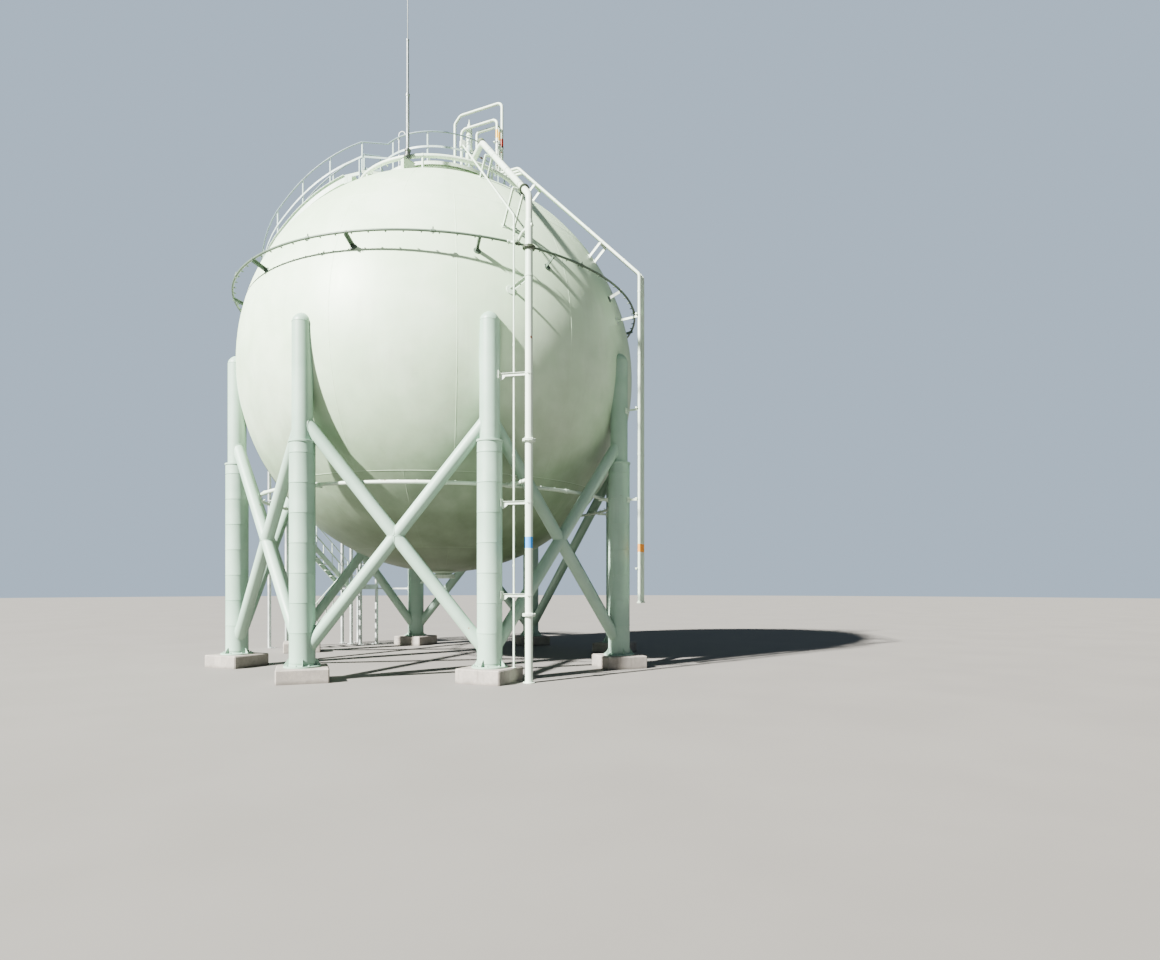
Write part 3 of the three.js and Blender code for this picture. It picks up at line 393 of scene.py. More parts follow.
def flat_bar(start: Array, end: Array, width: float, height: float, hint: Array = UP,
        chamfer: float = 0.003) -> Form:
    """A flat bar between two points, its width level and its height as upright as its slope allows."""
    length = float(np.linalg.norm(end - start))
    return block((width, height, length), (start + end) / 2, basis(end - start, hint), chamfer)


def angle_bar(start: Array, end: Array, leg: float, thick: float, turn: float = 1.0) -> Form:
    """An angle iron between two points, one leg level on top and the other hanging at one side."""
    axes = basis(end - start)
    over, aside = axes[:, 1] * (leg - thick) / 2, axes[:, 0] * turn * (leg - thick) / 2
    down = axes[:, 1] * -thick / 2
    return joined(flat_bar(start + over, end + over, leg, thick, chamfer=0.0015),
        flat_bar(start + aside + down, end + aside + down, thick, leg - thick, chamfer=0.0015))


def prism(outline: Sequence[Pair], thick: float, origin: Array, axes: Array) -> Form:
    """A plate with a convex outline in the first two axes, half its thickness on each side."""
    path = np.array([[0, 0, -thick / 2], [0, 0, thick / 2]])
    return loft(path, LEVEL[0], LEVEL[1], np.asarray(outline, float)).placed(axes, origin)


def disc(origin: Array, direction: Array, radius: float, thick: float, sides: int = 32,
        edge: float = 0.003) -> Form:
    """A round plate that starts at a point and is thick along a direction, its rims cut back."""
    edge = min(edge, 0.4 * thick)
    profile = [(0, 0), (radius - edge, 0), (radius, edge), (radius, thick - edge), (radius - edge, thick),
        (0, thick)]
    return revolve(profile, sides, origin=origin, axes=basis(direction))


def band(origin: Array, direction: Array, radius: float, width: float, thick: float) -> Form:
    """A flat strap round a pipe."""
    outer, half = radius + thick, width / 2
    return revolve([(radius, -half), (outer, -half), (outer, half), (radius, half)], 32, True, origin,
        basis(direction))


NUT = revolve([(0, 0), (1, 0), (1, 0.7), (0.86, 0.85), (0.5, 0.85), (0.5, 1.35), (0, 1.35)], 6)


def bolts(origins: Array, direction: Array, size: float) -> Form:
    """Hexagonal nuts with their bolt ends, at points and along a direction."""
    return NUT.placed(basis(direction), origins, size)


def bolt_circle(origin: Array, direction: Array, ring: float, count: int, size: float,
        start: float = 0.0) -> Form:
    """Nuts round a point."""
    return bolts(origin + disc_ring(direction, ring, count, start), direction, size)


def flange_pair(origin: Array, direction: Array, pipe_radius: float, radius: float, half: float,
        count: int = 8, sides: int = 32) -> Form:
    """Two weld-neck flanges bolted face to face round a pipe.

    Args:
        origin: Middle of the joint.
        direction: Along the pipe.
        pipe_radius: Radius of the pipe.
        radius: Radius of the flanges.
        half: Thickness of one flange.
        count: Number of bolts.
        sides: Points around.

    Returns:
        Both flanges with the nuts of both sides.
    """
    neck, gap, cut, root = 1.3 * pipe_radius, 0.004, 0.004, 0.9 * pipe_radius
    upper = [(0.92 * radius, gap), (radius - cut, gap), (radius, gap + cut), (radius, half - cut),
        (radius - cut, half), (neck, half), (1.04 * pipe_radius, 2.2 * half), (root, 2.2 * half)]
    profile = upper + [(r, -h) for r, h in reversed(upper)]
    ring, size = (radius + neck) / 2, 0.2 * (radius - neck) + 0.006
    direction = unit(direction)
    return joined(revolve(profile, sides, True, origin, basis(direction)),
        [bolt_circle(origin + way * half, way, ring, count, size) for way in (direction, -direction)])


def collar(origin: Array, direction: Array, pipe_radius: float, length: float, thick: float = 0.008,
        sides: int = 24) -> Form:
    """A short sleeve over a pipe, with sloped ends."""
    outer, half, root, face = pipe_radius + thick, length / 2, 0.9 * pipe_radius, pipe_radius + 0.001
    profile = [(root, -half), (face, -half), (outer, 0.8 * -half), (outer, 0.8 * half), (face, half),
        (root, half)]
    return revolve(profile, sides, True, origin, basis(direction))


def saddle_weld(start: Array, direction: Array, radius: float, axis_point: Array, axis_direction: Array,
        axis_radius: float, sign: float) -> Form:
    """Weld bead where a tube runs into a larger tube.

    A generator of the tube at angle a starts at q = start + r (cos a u + sin a v). It meets the larger
    tube where the part of q + t d - p square to that tube's axis is as long as its radius, which is a
    quadratic in t.

    Args:
        start: A point on the tube's line.
        direction: Its direction d.
        radius: Its radius r.
        axis_point: A point p on the larger tube's axis.
        axis_direction: Direction of that axis.
        axis_radius: Radius of the larger tube.
        sign: -1 for the first meeting along d, 1 for the second.

    Returns:
        The bead, a closed ring.
    """
    d, k = unit(direction), unit(axis_direction)
    q = start + disc_ring(d, radius, 48)

    def square(vectors: Array) -> Array:
        """Part of vectors square to the larger tube's axis."""
        return vectors - (vectors @ k)[..., None] * k

    w, e = square(q - axis_point), square(d)
    a, b = e @ e, 2 * w @ e
    c = np.einsum("ij,ij->i", w, w) - axis_radius**2
    t = (-b + sign * np.sqrt(np.maximum(b * b - 4 * a * c, 0))) / (2 * a)
    return sweep(q + t[:, None] * d, circle(0.013, 8), d, True)


# Finishes


def linear(colour: int) -> tuple[float, float, float, float]:
    """Scene-linear colour of a 0xRRGGBB value: c / 12.92 below 0.04045, else ((c + 0.055) / 1.055) ^ 2.4."""
    parts = [((colour >> shift) & 255) / 255 for shift in (16, 8, 0)]
    return tuple(c / 12.92 if c <= 0.04045 else ((c + 0.055) / 1.055) ** 2.4 for c in parts) + (1.0,)


Inputs = dict[str | int, object]


def add(tree: bpy.types.NodeTree, kind: str, inputs: Inputs | None = None,
        **settings: object) -> bpy.types.Node:
    """Add a node to a tree.

    Args:
        tree: The node tree.
        kind: Blender's name for the node type.
        inputs: What its inputs get: a Value is linked, anything else is set.
        settings: Its properties.

    Returns:
        The node.
    """
    node = tree.nodes.new(kind)
    for key, given in settings.items():
        setattr(node, key, given)
    for key, given in (inputs or {}).items():
        if isinstance(given, Value):
            tree.links.new(given.socket, node.inputs[key])
        else:
            node.inputs[key].default_value = given
    return node


@dataclass(frozen=True)
class Value:
    """What a node puts out; whatever is worked out from it adds its nodes to the same tree."""

    socket: bpy.types.NodeSocket

    def node(self, kind: str, inputs: Inputs, output: int | str = 0, **settings: object) -> "Value":
        """Output of a new node."""
        return Value(add(self.socket.id_data, kind, inputs, **settings).outputs[output])

    def math(self, operation: str, other: object) -> "Value":
        """One sum of this value and another."""
        return self.node("ShaderNodeMath", {0: self, 1: other}, operation=operation)

    def __add__(self, other: object) -> "Value":
        """This value plus another."""
        return self.math("ADD", other)

    def __mul__(self, other: object) -> "Value":
        """This value times another."""
        return self.math("MULTIPLY", other)

    def __sub__(self, other: object) -> "Value":
        """This value less another."""
        return self.math("SUBTRACT", other)

    def __rsub__(self, number: float) -> "Value":
        """A number less this value."""
        return self.node("ShaderNodeMath", {0: number, 1: self}, operation="SUBTRACT")

    def between(self, low: object, high: object, to_low: float = 0.0, to_high: float = 1.0) -> "Value":
        """This value moved smoothly from one range to another and kept inside it."""
        return self.node("ShaderNodeMapRange", {"Value": self, "From Min": low, "From Max": high,
            "To Min": to_low, "To Max": to_high}, interpolation_type="SMOOTHSTEP")

    def mix(self, under: object, over: object) -> "Value":
        """A colour with another over it where this mask is 1; a whole number is 0xRRGGBB."""
        ends = [linear(colour) if isinstance(colour, int) else colour for colour in (under, over)]
        return self.node("ShaderNodeMix", {0: self, 6: ends[0], 7: ends[1]}, 2, data_type="RGBA")

    def noise(self, scale: object, detail: float = 4.0, roughness: float = 0.55) -> "Value":
        """Noise at this place."""
        return self.node("ShaderNodeTexNoise", {"Vector": self, "Scale": scale, "Detail": detail,
            "Roughness": roughness}, "Fac")

    def cells(self, scale: object, output: str = "Distance") -> "Value":
        """Cells at this place: how far their own points are, or their colours."""
        return self.node("ShaderNodeTexVoronoi", {"Vector": self, "Scale": scale}, output)

    def parts(self) -> list["Value"]:
        """The three numbers of this vector."""
        return [Value(k) for k in add(self.socket.id_data, "ShaderNodeSeparateXYZ", {0: self}).outputs]

    def vector(self, *numbers: object) -> "Value":
        """A vector of numbers."""
        return self.node("ShaderNodeCombineXYZ", dict(enumerate(numbers)))

    def length(self) -> "Value":
        """Length of this vector."""
        return self.node("ShaderNodeVectorMath", {0: self}, "Value", operation="LENGTH")


@dataclass(frozen=True)
class Effect:
    """An effect that several materials share, kept in one node group."""

    name: str
    inputs: dict[str, float]
    work_out: Callable[..., Value]
    output: tuple[str, str] = ("Mask", "Float")

    def tree(self) -> bpy.types.NodeTree:
        """The group, built at its first use."""
        tree = bpy.data.node_groups.get(self.name)
        if tree:
            return tree
        tree = bpy.data.node_groups.new(self.name, "ShaderNodeTree")
        tree.interface.new_socket("Vector", in_out="INPUT", socket_type="NodeSocketVector")
        for label, number in self.inputs.items():
            socket = tree.interface.new_socket(label, in_out="INPUT", socket_type="NodeSocketFloat")
            socket.default_value = number
        label, kind = self.output
        tree.interface.new_socket(label, in_out="OUTPUT", socket_type=f"NodeSocket{kind}")
        given = [Value(socket) for socket in tree.nodes.new("NodeGroupInput").outputs if socket.name]
        add(tree, "NodeGroupOutput", {0: self.work_out(*given)})
        return tree

    def at(self, place: Value, *numbers: float) -> Value:
        """The effect at a place of a material, with numbers in the order of its inputs."""
        return place.node("ShaderNodeGroup", {"Vector": place, **dict(zip(self.inputs, numbers))},
            node_tree=self.tree())


def soft_patches(place: Value, scale: Value, low: Value, high: Value) -> Value:
    """Mean of a broad and a fine noise, moved to 0..1 between low and high."""
    return (place.noise(scale) * 0.7 + place.noise(scale * 5.3) * 0.3).between(low, high)


def rain_runs(place: Value, width: Value, length: Value, cover: Value) -> Value:
    """Noise at (W x, W y, L z), kept above one less the cover, and broken by a broad noise."""
    x, y, z = place.parts()
    start = 1.0 - cover
    runs = place.vector(x * width, y * width, z * length).noise(1.0, 5.0, 0.6)
    return runs.between(start, start + 0.2) * place.noise(0.9, 2.0).between(0.35, 0.65)


def rust_specks(place: Value, scale: Value, cover: Value) -> Value:
    """1 where the distance to a cell's own point is under the cover times a clustered noise."""
    clusters = place.noise(1.7, 3.0).between(0.52, 0.72)
    return (clusters * cover - place.cells(scale)).between(0.0, 0.04)


def height_band(place: Value, low: Value, high: Value, least: Value) -> Value:
    """1 where the height is between low and high and the distance from the axis over the least."""
    x, y, z = place.parts()
    inside = z.math("GREATER_THAN", low) * z.math("LESS_THAN", high)
    return inside * place.vector(x, y).length().math("GREATER_THAN", least)


def round_the_tank(place: Value, radius: Value) -> Value:
    """(R x / r, R y / r, z) with r the distance from the axis, so that runs follow the meridians."""
    x, y, z = place.parts()
    grow = radius.math("DIVIDE", place.vector(x, y).length().math("MAXIMUM", 0.3))
    return place.vector(x * grow, y * grow, z)


def looks_down(place: Value, low: Value, high: Value) -> Value:
    """How far a face looks at the ground, roughened by noise and moved to 0..1 between low and high."""
    down = place.node("ShaderNodeNewGeometry", {}, "Normal").parts()[2] * -1.0
    return (down + (place.noise(1.3) - 0.5) * 0.35).between(low, high)


PATCHES = Effect("soft_patches", {"Scale": 1.0, "Low": 0.4, "High": 0.6}, soft_patches)
RUNS = Effect("rain_runs", {"Width": 6.0, "Length": 0.5, "Cover": 0.5}, rain_runs)
SPECKS = Effect("rust_specks", {"Scale": 9.0, "Cover": 0.2}, rust_specks)
RING = Effect("height_band", {"Low": 0.0, "High": 1.0, "Least": 0.0}, height_band)
MERIDIANS = Effect("round_the_tank", {"Radius": 6.2}, round_the_tank, ("Place", "Vector"))
# Mask of the painted shade on faces that look down.
SHADE_BELOW = Effect("looks_down", {"Low": -0.1, "High": 0.8}, looks_down)


@dataclass(frozen=True)
class Band:
    """A painted colour ring on upright pipes, from a least distance from the axis outwards."""

    low: float
    high: float
    colour: int
    least: float


@dataclass(frozen=True)
class Finish(ABC):
    """A surface finish, made into a material at its first use."""

    name: str

    def material(self) -> bpy.types.Material:
        """The finish's material."""
        found = bpy.data.materials.get(self.name)
        if found:
            return found
        material = bpy.data.materials.new(self.name)
        material.use_nodes = True
        tree = material.node_tree
        tree.nodes.clear()
        place = Value(add(tree, "ShaderNodeTexCoord").outputs["Object"])
        place = place.node("ShaderNodeMapping", {"Vector": place, "Location": tuple(-AXIS)})
        shader = place.node("ShaderNodeBsdfPrincipled", self.dress(place))
        add(tree, "ShaderNodeOutputMaterial", {"Surface": shader})
        return material

    @abstractmethod
    def dress(self, place: Value) -> Inputs:
        """What the shader's inputs get."""

    @staticmethod
    def coat(colour: Value, roughness: Value, height: Value, strength: float, distance: float) -> Inputs:
        """The shader's colour, roughness and bump."""
        bump = height.node("ShaderNodeBump", {"Height": height, "Strength": strength, "Distance": distance})
        return {"Base Color": colour, "Roughness": roughness, "Normal": bump}


@dataclass(frozen=True)
class Paint(Finish):
    """Oil paint on steel: faded patches, rain runs, painted shade (a darker green) on faces that look down,
    rust specks and colour bands.
    """

    base: int = 0xD3DFD0
    faded: int = 0xDDE6DA
    grime: int = 0x8E9C86
    # Colour of the painted shade, a darker green on faces that look down.
    underside_shade: int = 0x7C8C6C
    rust: int = 0x7A4A2C
    runs: float = 0.45
    # Strength of that painted shade.
    underside_shading: float = 0.5
    specks: float = 0.12
    patch: float = 0.35
    gloss: float = 0.42
    grain: float = 60.0
    round_tank: bool = False
    bands: tuple[Band, ...] = ()

    def dress(self, place: Value) -> Inputs:
        """Layer the coat from its base up to the rust."""
        patches = PATCHES.at(place, self.patch, 0.38, 0.66)
        colour = patches.mix(self.base, self.faded)
        for ring in self.bands:
            colour = RING.at(place, ring.low, ring.high, ring.least).mix(colour, ring.colour)
        along = MERIDIANS.at(place) if self.round_tank else place
        width, length = (1.6, 0.22) if self.round_tank else (9.0, 0.6)
        runs = RUNS.at(along, width, length, 0.52)
        marks = runs.math("MAXIMUM", RUNS.at(along, 3.1 * width, 0.8 * length, 0.46)) * self.runs
        colour = marks.mix(colour, self.grime)
        # Painted shade: the colour goes darker green where a face looks down, under the tank and its parts.
        colour = (SHADE_BELOW.at(place, -0.15, 1.1) * self.underside_shading).mix(colour, self.underside_shade)
        rust = SPECKS.at(place, 3.2, self.specks)
        fine = place.noise(self.grain, 3.0)
        worn = marks * 0.25 + patches * 0.08 + rust * 0.4
        roughness = worn + fine * 0.08 + (self.gloss - 0.04)
        height = fine + place.noise(2.2, 2.0) * 1.5
        return {"Specular IOR Level": 0.45,
            **self.coat(rust.mix(colour, self.rust), roughness, height, 0.12, 0.004)}


@dataclass(frozen=True)
class Zinc(Finish):
    """Hot-dip galvanised steel: zinc flowers, white bloom, dull runs and a little rust."""

    base: int = 0xB9C0BD
    flower: int = 0x98A19F
    bloom: int = 0xD8DCD8
    rust: int = 0x8A5A3A
    metal: float = 0.45

    def dress(self, place: Value) -> Inputs:
        """Layer flowers, bloom and runs."""
        cells = place.cells(38.0, "Color")
        tone = cells.node("ShaderNodeSeparateColor", {0: cells})
        bloom = PATCHES.at(place, 1.6, 0.45, 0.7)
        rust = SPECKS.at(place, 5.0, 0.16) * 0.8
        colour = (bloom * 0.5).mix((tone * 0.5).mix(self.base, self.flower), self.bloom)
        colour = (RUNS.at(place, 14.0, 0.9, 0.45) * 0.25).mix(colour, self.flower)
        roughness = tone * 0.12 + bloom.between(0.0, 1.0, 0.38, 0.6)
        metal = (1.0 - bloom.math("MAXIMUM", rust)) * self.metal
        return {"Metallic": metal,
            **self.coat(rust.mix(colour, self.rust), roughness, place.noise(90.0, 3.0), 0.15, 0.002)}


@dataclass(frozen=True)
class Cement(Finish):
    """Cast concrete: sand and pores, damp foot, pale runs and formwork shade."""

    base: int = 0x85807A
    sand: int = 0x9C968D
    damp: int = 0x57534C
    damp_height: float = 0.16

    def dress(self, place: Value) -> Inputs:
        """Layer sand, pores, damp and runs."""
        sand, patches = place.noise(140.0, 2.0), PATCHES.at(place, 2.4, 0.36, 0.68)
        colour = patches.mix(self.base, self.sand)
        colour = sand.between(0.45, 0.62, 0.0, 0.35).mix(colour, self.damp)
        edge = place.parts()[2] + place.noise(4.0) * 0.12
        damp = edge.between(self.damp_height, self.damp_height - 0.11)
        dark = (RUNS.at(place, 12.0, 1.5, 0.5) * 0.5).math("MAXIMUM", damp * 0.7)
        height = sand * 0.4 + place.cells(26.0).between(0.05, 0.16)
        return self.coat(dark.mix(colour, self.damp), patches.between(0.0, 1.0, 0.92, 0.8), height, 0.35,
            0.004)


@dataclass(frozen=True)
class Dark(Finish):
    """Dull dark coat of clamps, straps and gaskets, scuffed and dusty."""

    base: int = 0x2E3630
    dust: int = 0x6A6E60

    def dress(self, place: Value) -> Inputs:
        """Dust over the dark base."""
        dust = PATCHES.at(place, 7.0, 0.42, 0.75)
        return self.coat((dust * 0.6).mix(self.base, self.dust), dust.between(0.0, 1.0, 0.45, 0.75),
            place.noise(80.0), 0.15, 0.002)


# The shell's painted shade is a deep green at near full strength on its underside.
SHELL_COAT = Paint("shell_coat", base=0xBBD6B4, faded=0xCADFC4, underside_shade=0x33431F, round_tank=True,
    runs=0.16, underside_shading=0.95, specks=0.05)
COLUMN_COAT = Paint("column_coat", base=0x87A593, faded=0x97B2A2, grime=0x87978A, runs=0.3, underside_shading=0.3)
PIPE_COAT = Paint("pipe_coat", base=0xBDD2BE, faded=0xCFDDCE, runs=0.4, underside_shading=0.4, specks=0.16)
BLUE, YELLOW, ORANGE, RED = 0x1D86D6, 0xE8B417, 0xE79A1C, 0xB5371E
FOOT_BAND = Band(3.38, 3.61, ORANGE, 6.0)
RISER_COAT = replace(PIPE_COAT, name="riser_coat", bands=(Band(3.33, 3.61, BLUE, 6.2),))
VENT_COAT = replace(PIPE_COAT, name="vent_coat", bands=(FOOT_BAND, Band(16.55, 16.82, YELLOW, 1.7)))
GOOSENECK_COAT = replace(PIPE_COAT, name="gooseneck_coat",
    bands=(FOOT_BAND, Band(16.42, 16.69, RED, 1.7)))
# Painted shade: the upper ring, its arms and straps get a dark olive coat for the shade on them; their own
# paint is pale.
SHADED_RING_COAT = Paint("shaded_ring_coat", base=0x48594C, faded=0x627464, grime=0x5E6E60, underside_shade=0x3F4F3C, runs=0.5,
    underside_shading=0.8)
# Painted shade: a dark olive coat for the shaded sides of the riser's strap, head cap and flanges; their own
# paint is pale.
SHADE_OLIVE_COAT = Paint("shade_olive_coat", base=0x3F4A38, faded=0x586450, grime=0x3A4034, underside_shade=0x2C3428,
    underside_shading=0.8, specks=0.3)
RAIL_COAT = Paint("rail_coat", base=0x8CA2A2, faded=0xA2B6B4, runs=0.5, underside_shading=0.3, specks=0.2)
HANDRAIL_COAT = Paint("handrail_coat", base=0x50626E, faded=0x687C88, grime=0x454E54, runs=0.4,
    specks=0.25)
# The deck's painted shade darkens its underside and skirt, and the lightning rod's bracket box, which shares
# this coat.
DECK_COAT = Paint("deck_coat", base=0xB4C6B0, faded=0xC8D6C4, underside_shade=0x43553A, underside_shading=0.9, runs=0.5,
    specks=0.2)
STAIR_COAT = Paint("stair_coat", base=0xADC4B2, faded=0xC0D2C4, runs=0.5, underside_shading=0.6, specks=0.24)
ZINC = Zinc("zinc_coat")
OLD_ZINC = Zinc("old_zinc_coat", base=0x767D7C, flower=0x5C6462, bloom=0x949A97)
CEMENT = Cement("cast_cement")
DARK = Dark("dark_fittings")


# Pieces


class Slot(Enum):
    """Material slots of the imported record."""

    PAINT = "celadon_paint"
    CONCRETE = "concrete"
    ZINC = "galvanised_steel"


def scene_object(name: str, data: bpy.types.ID) -> bpy.types.Object:
    """A new object in the scene."""
    made = bpy.data.objects.new(name, data)
    bpy.context.scene.collection.objects.link(made)
    return made


@dataclass(frozen=True)
class Piece:
    """One finished piece: its shape, or its forms, its finish, record slot and CAD nodes."""

    name: str
    form: Form | Iterable[Form]
    finish: Finish
    slot: Slot = Slot.PAINT
    stands_for: tuple[str, ...] = ()
    crease: float = 32.0

    def make(self) -> bpy.types.Object:
        """Build the piece's object at the origin, its place in its mesh."""
        mesh = bpy.data.meshes.new(self.name)
        form = joined(self.form)
        counts = np.concatenate([np.full(len(form.quads), 4), np.full(len(form.tris), 3)])
        corners = np.concatenate([form.quads.ravel(), form.tris.ravel()])
        mesh.vertices.add(len(form.points))
        mesh.vertices.foreach_set("co", (form.points + AXIS).astype(np.float32).ravel())
        mesh.loops.add(len(corners))
        mesh.loops.foreach_set("vertex_index", corners.astype(np.int32))
        mesh.polygons.add(len(counts))
        mesh.polygons.foreach_set("loop_start", (np.cumsum(counts) - counts).astype(np.int32))
        mesh.polygons.foreach_set("use_smooth", np.ones(len(counts), bool))
        mesh.update(calc_edges=True)
        mesh.validate()
        mesh.set_sharp_from_angle(angle=math.radians(self.crease))
        mesh.materials.append(self.finish.material())
        piece = scene_object(self.name, mesh)
        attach(piece, "root")
        if self.stands_for:
            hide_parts(*self.stands_for)
        LOG.info("%s: %d triangles, %s", self.name, len(form.triangles()), self.finish.name)
        return piece


class SubAssembly(ABC):
    """A group of pieces that are built and dressed together."""

    @abstractmethod
    def pieces(self) -> Iterator[Piece]:
        """The group's pieces in building order."""


# The shell and what holds it up

SHELL_RADIUS = 6.2
SHELL_CENTRE = 9.05
COLUMN_RING = 6.18
COLUMN_DEGREES = tuple(22.5 + 45.0 * k for k in range(8))
COLUMN_PIPE, COLUMN_SLEEVE, SLEEVE_TOP = 0.254, 0.315, 6.04


def shell_top(ring: float) -> float:
    """Height of the shell's upper half at a distance from the axis."""
    return SHELL_CENTRE + math.sqrt(SHELL_RADIUS**2 - ring**2)


def shell_ring(height: float) -> float:
    """Distance from the axis of the shell at a height."""
    return math.sqrt(SHELL_RADIUS**2 - (height - SHELL_CENTRE) ** 2)


def shell_pad(angle: float, height: float, radius: float = 0.11) -> Form:
    """A round pad on the shell with a raised weld rim."""
    spot = polar(angle, shell_ring(height), height)
    out = unit(spot - UP * SHELL_CENTRE)
    return joined(disc(spot - out * 0.006, out, radius, 0.016 + 0.006, 24),
        sweep(spot + disc_ring(out, radius), circle(0.008, 6), out, True))


@dataclass(frozen=True)
class Shell(SubAssembly):
    """The sphere: five zones of pressed plate with ground weld seams between and across them."""

    wall: float = 0.03
    sides: int = 144
    row: float = 2.25
    gap: float = 0.0014
    bead: Pair = (0.0035, 0.017)
    zones: tuple[tuple[str, float, float], ...] = (("top_crown", 0, 27), ("upper_belt", 27, 54),
        ("equator_belt", 54, 126), ("lower_belt", 126, 153), ("bottom_crown", 153, 180))
    plates: tuple[tuple[float, float, int, float], ...] = ((54, 126, 12, 15), (27, 54, 12, 0),
        (126, 153, 12, 0), (0, 27, 2, 75), (153, 180, 2, 15))

    def arc(self, start: float, end: float, radius: float) -> Array:
        """Profile of a zone at a radius: (R sin p, centre + R cos p) for p from start to end."""
        slope = np.radians(np.linspace(start, end, round((end - start) / self.row) + 1))
        profile = columns(radius * np.sin(slope), SHELL_CENTRE + radius * np.cos(slope))
        profile[np.isclose(slope, 0) | np.isclose(slope, np.pi), 0] = 0
        return profile

    def zone(self, start: float, end: float) -> Form:
        """One zone of plate between two angles from the top, a hair short of each seam."""
        start, end = start + self.gap * (start > 0), end - self.gap * (end < 180)
        outer, inner = (self.arc(start, end, radius) for radius in (SHELL_RADIUS, SHELL_RADIUS - self.wall))
        profile = [outer[::-1], inner] if end == 180 else [outer, inner[::-1]]
        return revolve(np.concatenate(profile), self.sides, ring=0 < start and end < 180)

    def beads(self) -> Forms:
        """Flat weld beads along every seam, half sunk in the plates."""
        section = circle(1, 8) * self.bead
        for _, _, end in self.zones[:-1]:
            slope = math.radians(end)
            path = polar(np.arange(0, 360, 2.5), SHELL_RADIUS * math.sin(slope),
                SHELL_CENTRE + SHELL_RADIUS * math.cos(slope))
            out = unit(path - UP * SHELL_CENTRE)
            yield loft(path, out, np.cross(unit(np.cross(out, UP)), out), section, True)
        for start, end, count, first in self.plates:
            slope = np.radians(np.linspace(start, end, round((end - start) / 3) + 1))
            for angle in first + 360 / count * np.arange(count):
                path = polar(angle, SHELL_RADIUS * np.sin(slope), SHELL_CENTRE + SHELL_RADIUS * np.cos(slope))
                yield loft(path, unit(path - UP * SHELL_CENTRE), round_at(angle), section)

    def pieces(self) -> Iterator[Piece]:
        """Five zones and their welds."""
        for name, start, end in self.zones:
            yield Piece(f"plates_{name}", self.zone(start, end), SHELL_COAT, stands_for=(f"shell_{name}",))
        yield Piece("seam_welds", self.beads(), SHELL_COAT)


@dataclass(frozen=True)
class Columns(SubAssembly):
    """Eight pipe columns with domed heads, fireproof sleeves in courses, base plates and plinths."""

    top: float = 9.02
    dome: float = 0.25
    lip: Pair = (0.335, 0.05)
    course: float = 0.75
    first_joint: float = 5.71
    foot: float = 0.3603
    plate: Pair = (0.45, 0.04)
    plinth: Triple = (1.25, 0.36, 0.03)
    groove: tuple[Pair, ...] = ((0, -0.007), (-0.008, -0.005), (-0.008, 0.004),
        (0.003, 0.006), (0.003, 0.03), (0, 0.045))

    def shaft(self) -> Form:
        """Base plate, sleeve with its joints, pipe and domed head, turned about the column's axis."""
        r, sleeve, neck, plate = COLUMN_PIPE, COLUMN_SLEEVE, self.top, self.plate[0]
        top, under = self.foot + self.plate[1], SLEEVE_TOP - self.lip[1]
        profile = [(0, self.foot), (plate, self.foot), (plate, top - 0.005), (plate - 0.005, top),
            (sleeve + 0.012, top), (sleeve, top + 0.012)]
        for height in np.arange(self.first_joint, top + 0.05, -self.course)[::-1]:
            profile += [(sleeve + out, height + up) for out, up in self.groove]
        lip, close = self.lip[0], SLEEVE_TOP
        profile += [(sleeve, under - 0.002), (lip - 0.003, under), (lip, under + 0.004),
            (lip, close - 0.006), (lip - 0.006, close), (r + 0.006, close), (r, close + 0.008),
            (r, neck - 0.008), (r + 0.005, neck - 0.003), (r + 0.005, neck + 0.005),
            (r - 0.004, neck + 0.012)]
        profile += [((r - 0.004) * (1 - s**1.7) ** (1 / 1.7), neck + 0.012 + (self.dome - 0.012) * s)
            for s in np.linspace(0.1, 1, 9)[:-1]]
        return revolve(profile + [(0, neck + self.dome)], 56)

    def shell_weld(self) -> Form:
        """Bead where the pipe enters the shell: height centre - sqrt(R^2 - r^2) at r from the tank's axis."""
        turn = np.radians(np.linspace(88, 272, 60))
        x, y = COLUMN_RING + COLUMN_PIPE * np.cos(turn), COLUMN_PIPE * np.sin(turn)
        height = SHELL_CENTRE - np.sqrt(np.maximum(SHELL_RADIUS**2 - x**2 - y**2, 0))
        return sweep(columns(x - COLUMN_RING, y, height), circle(0.014, 8), [-1.0, 0, 0.3])

    def gussets(self) -> Forms:
        """Four fins between the sleeve and the base plate, with the anchor nuts between them."""
        top, root, tip = self.foot + self.plate[1], COLUMN_SLEEVE - 0.02, self.plate[0] - 0.016
        outline = [(root, 0), (tip, 0), (tip, 0.03), (COLUMN_SLEEVE + 0.02, 0.17), (root, 0.17)]
        for k in range(4):
            axes = radial_axes(90 * k + 45)[:, [0, 2, 1]] * [1, 1, -1]
            yield prism(outline, 0.016, UP * (top - 0.001), axes)
        yield bolt_circle(UP * top, UP, 0.39, 8, 0.026, math.pi / 8)

    def block(self, angle: float) -> Forms:
        """A square plinth, corner-on to the tank, its top edges cut back and its foot at ground level."""
        side, height, cut = self.plinth
        shape = block((side, side, height + cut), polar(angle, COLUMN_RING, (height - cut) / 2),
            radial_axes(angle + 45), cut)
        shape.points[:, 2] = np.maximum(shape.points[:, 2], 0)
        yield from (shape, disc(polar(angle, COLUMN_RING, height - 0.01), UP, 0.49, 0.0095))

    def pieces(self) -> Iterator[Piece]:
        """Each column with its welds and nuts, and its plinth."""
        shape = joined(self.shaft(), self.shell_weld(), self.gussets())
        for k, angle in enumerate(COLUMN_DEGREES, 1):
            placed = shape.placed(radial_axes(angle), polar(angle, COLUMN_RING, 0))
            yield Piece(f"column_{k}_pipe", placed, COLUMN_COAT, stands_for=(f"column_{k}",), crease=28)
            yield Piece(f"plinth_{k}_block", self.block(angle), CEMENT, Slot.CONCRETE, (f"plinth_{k}",))


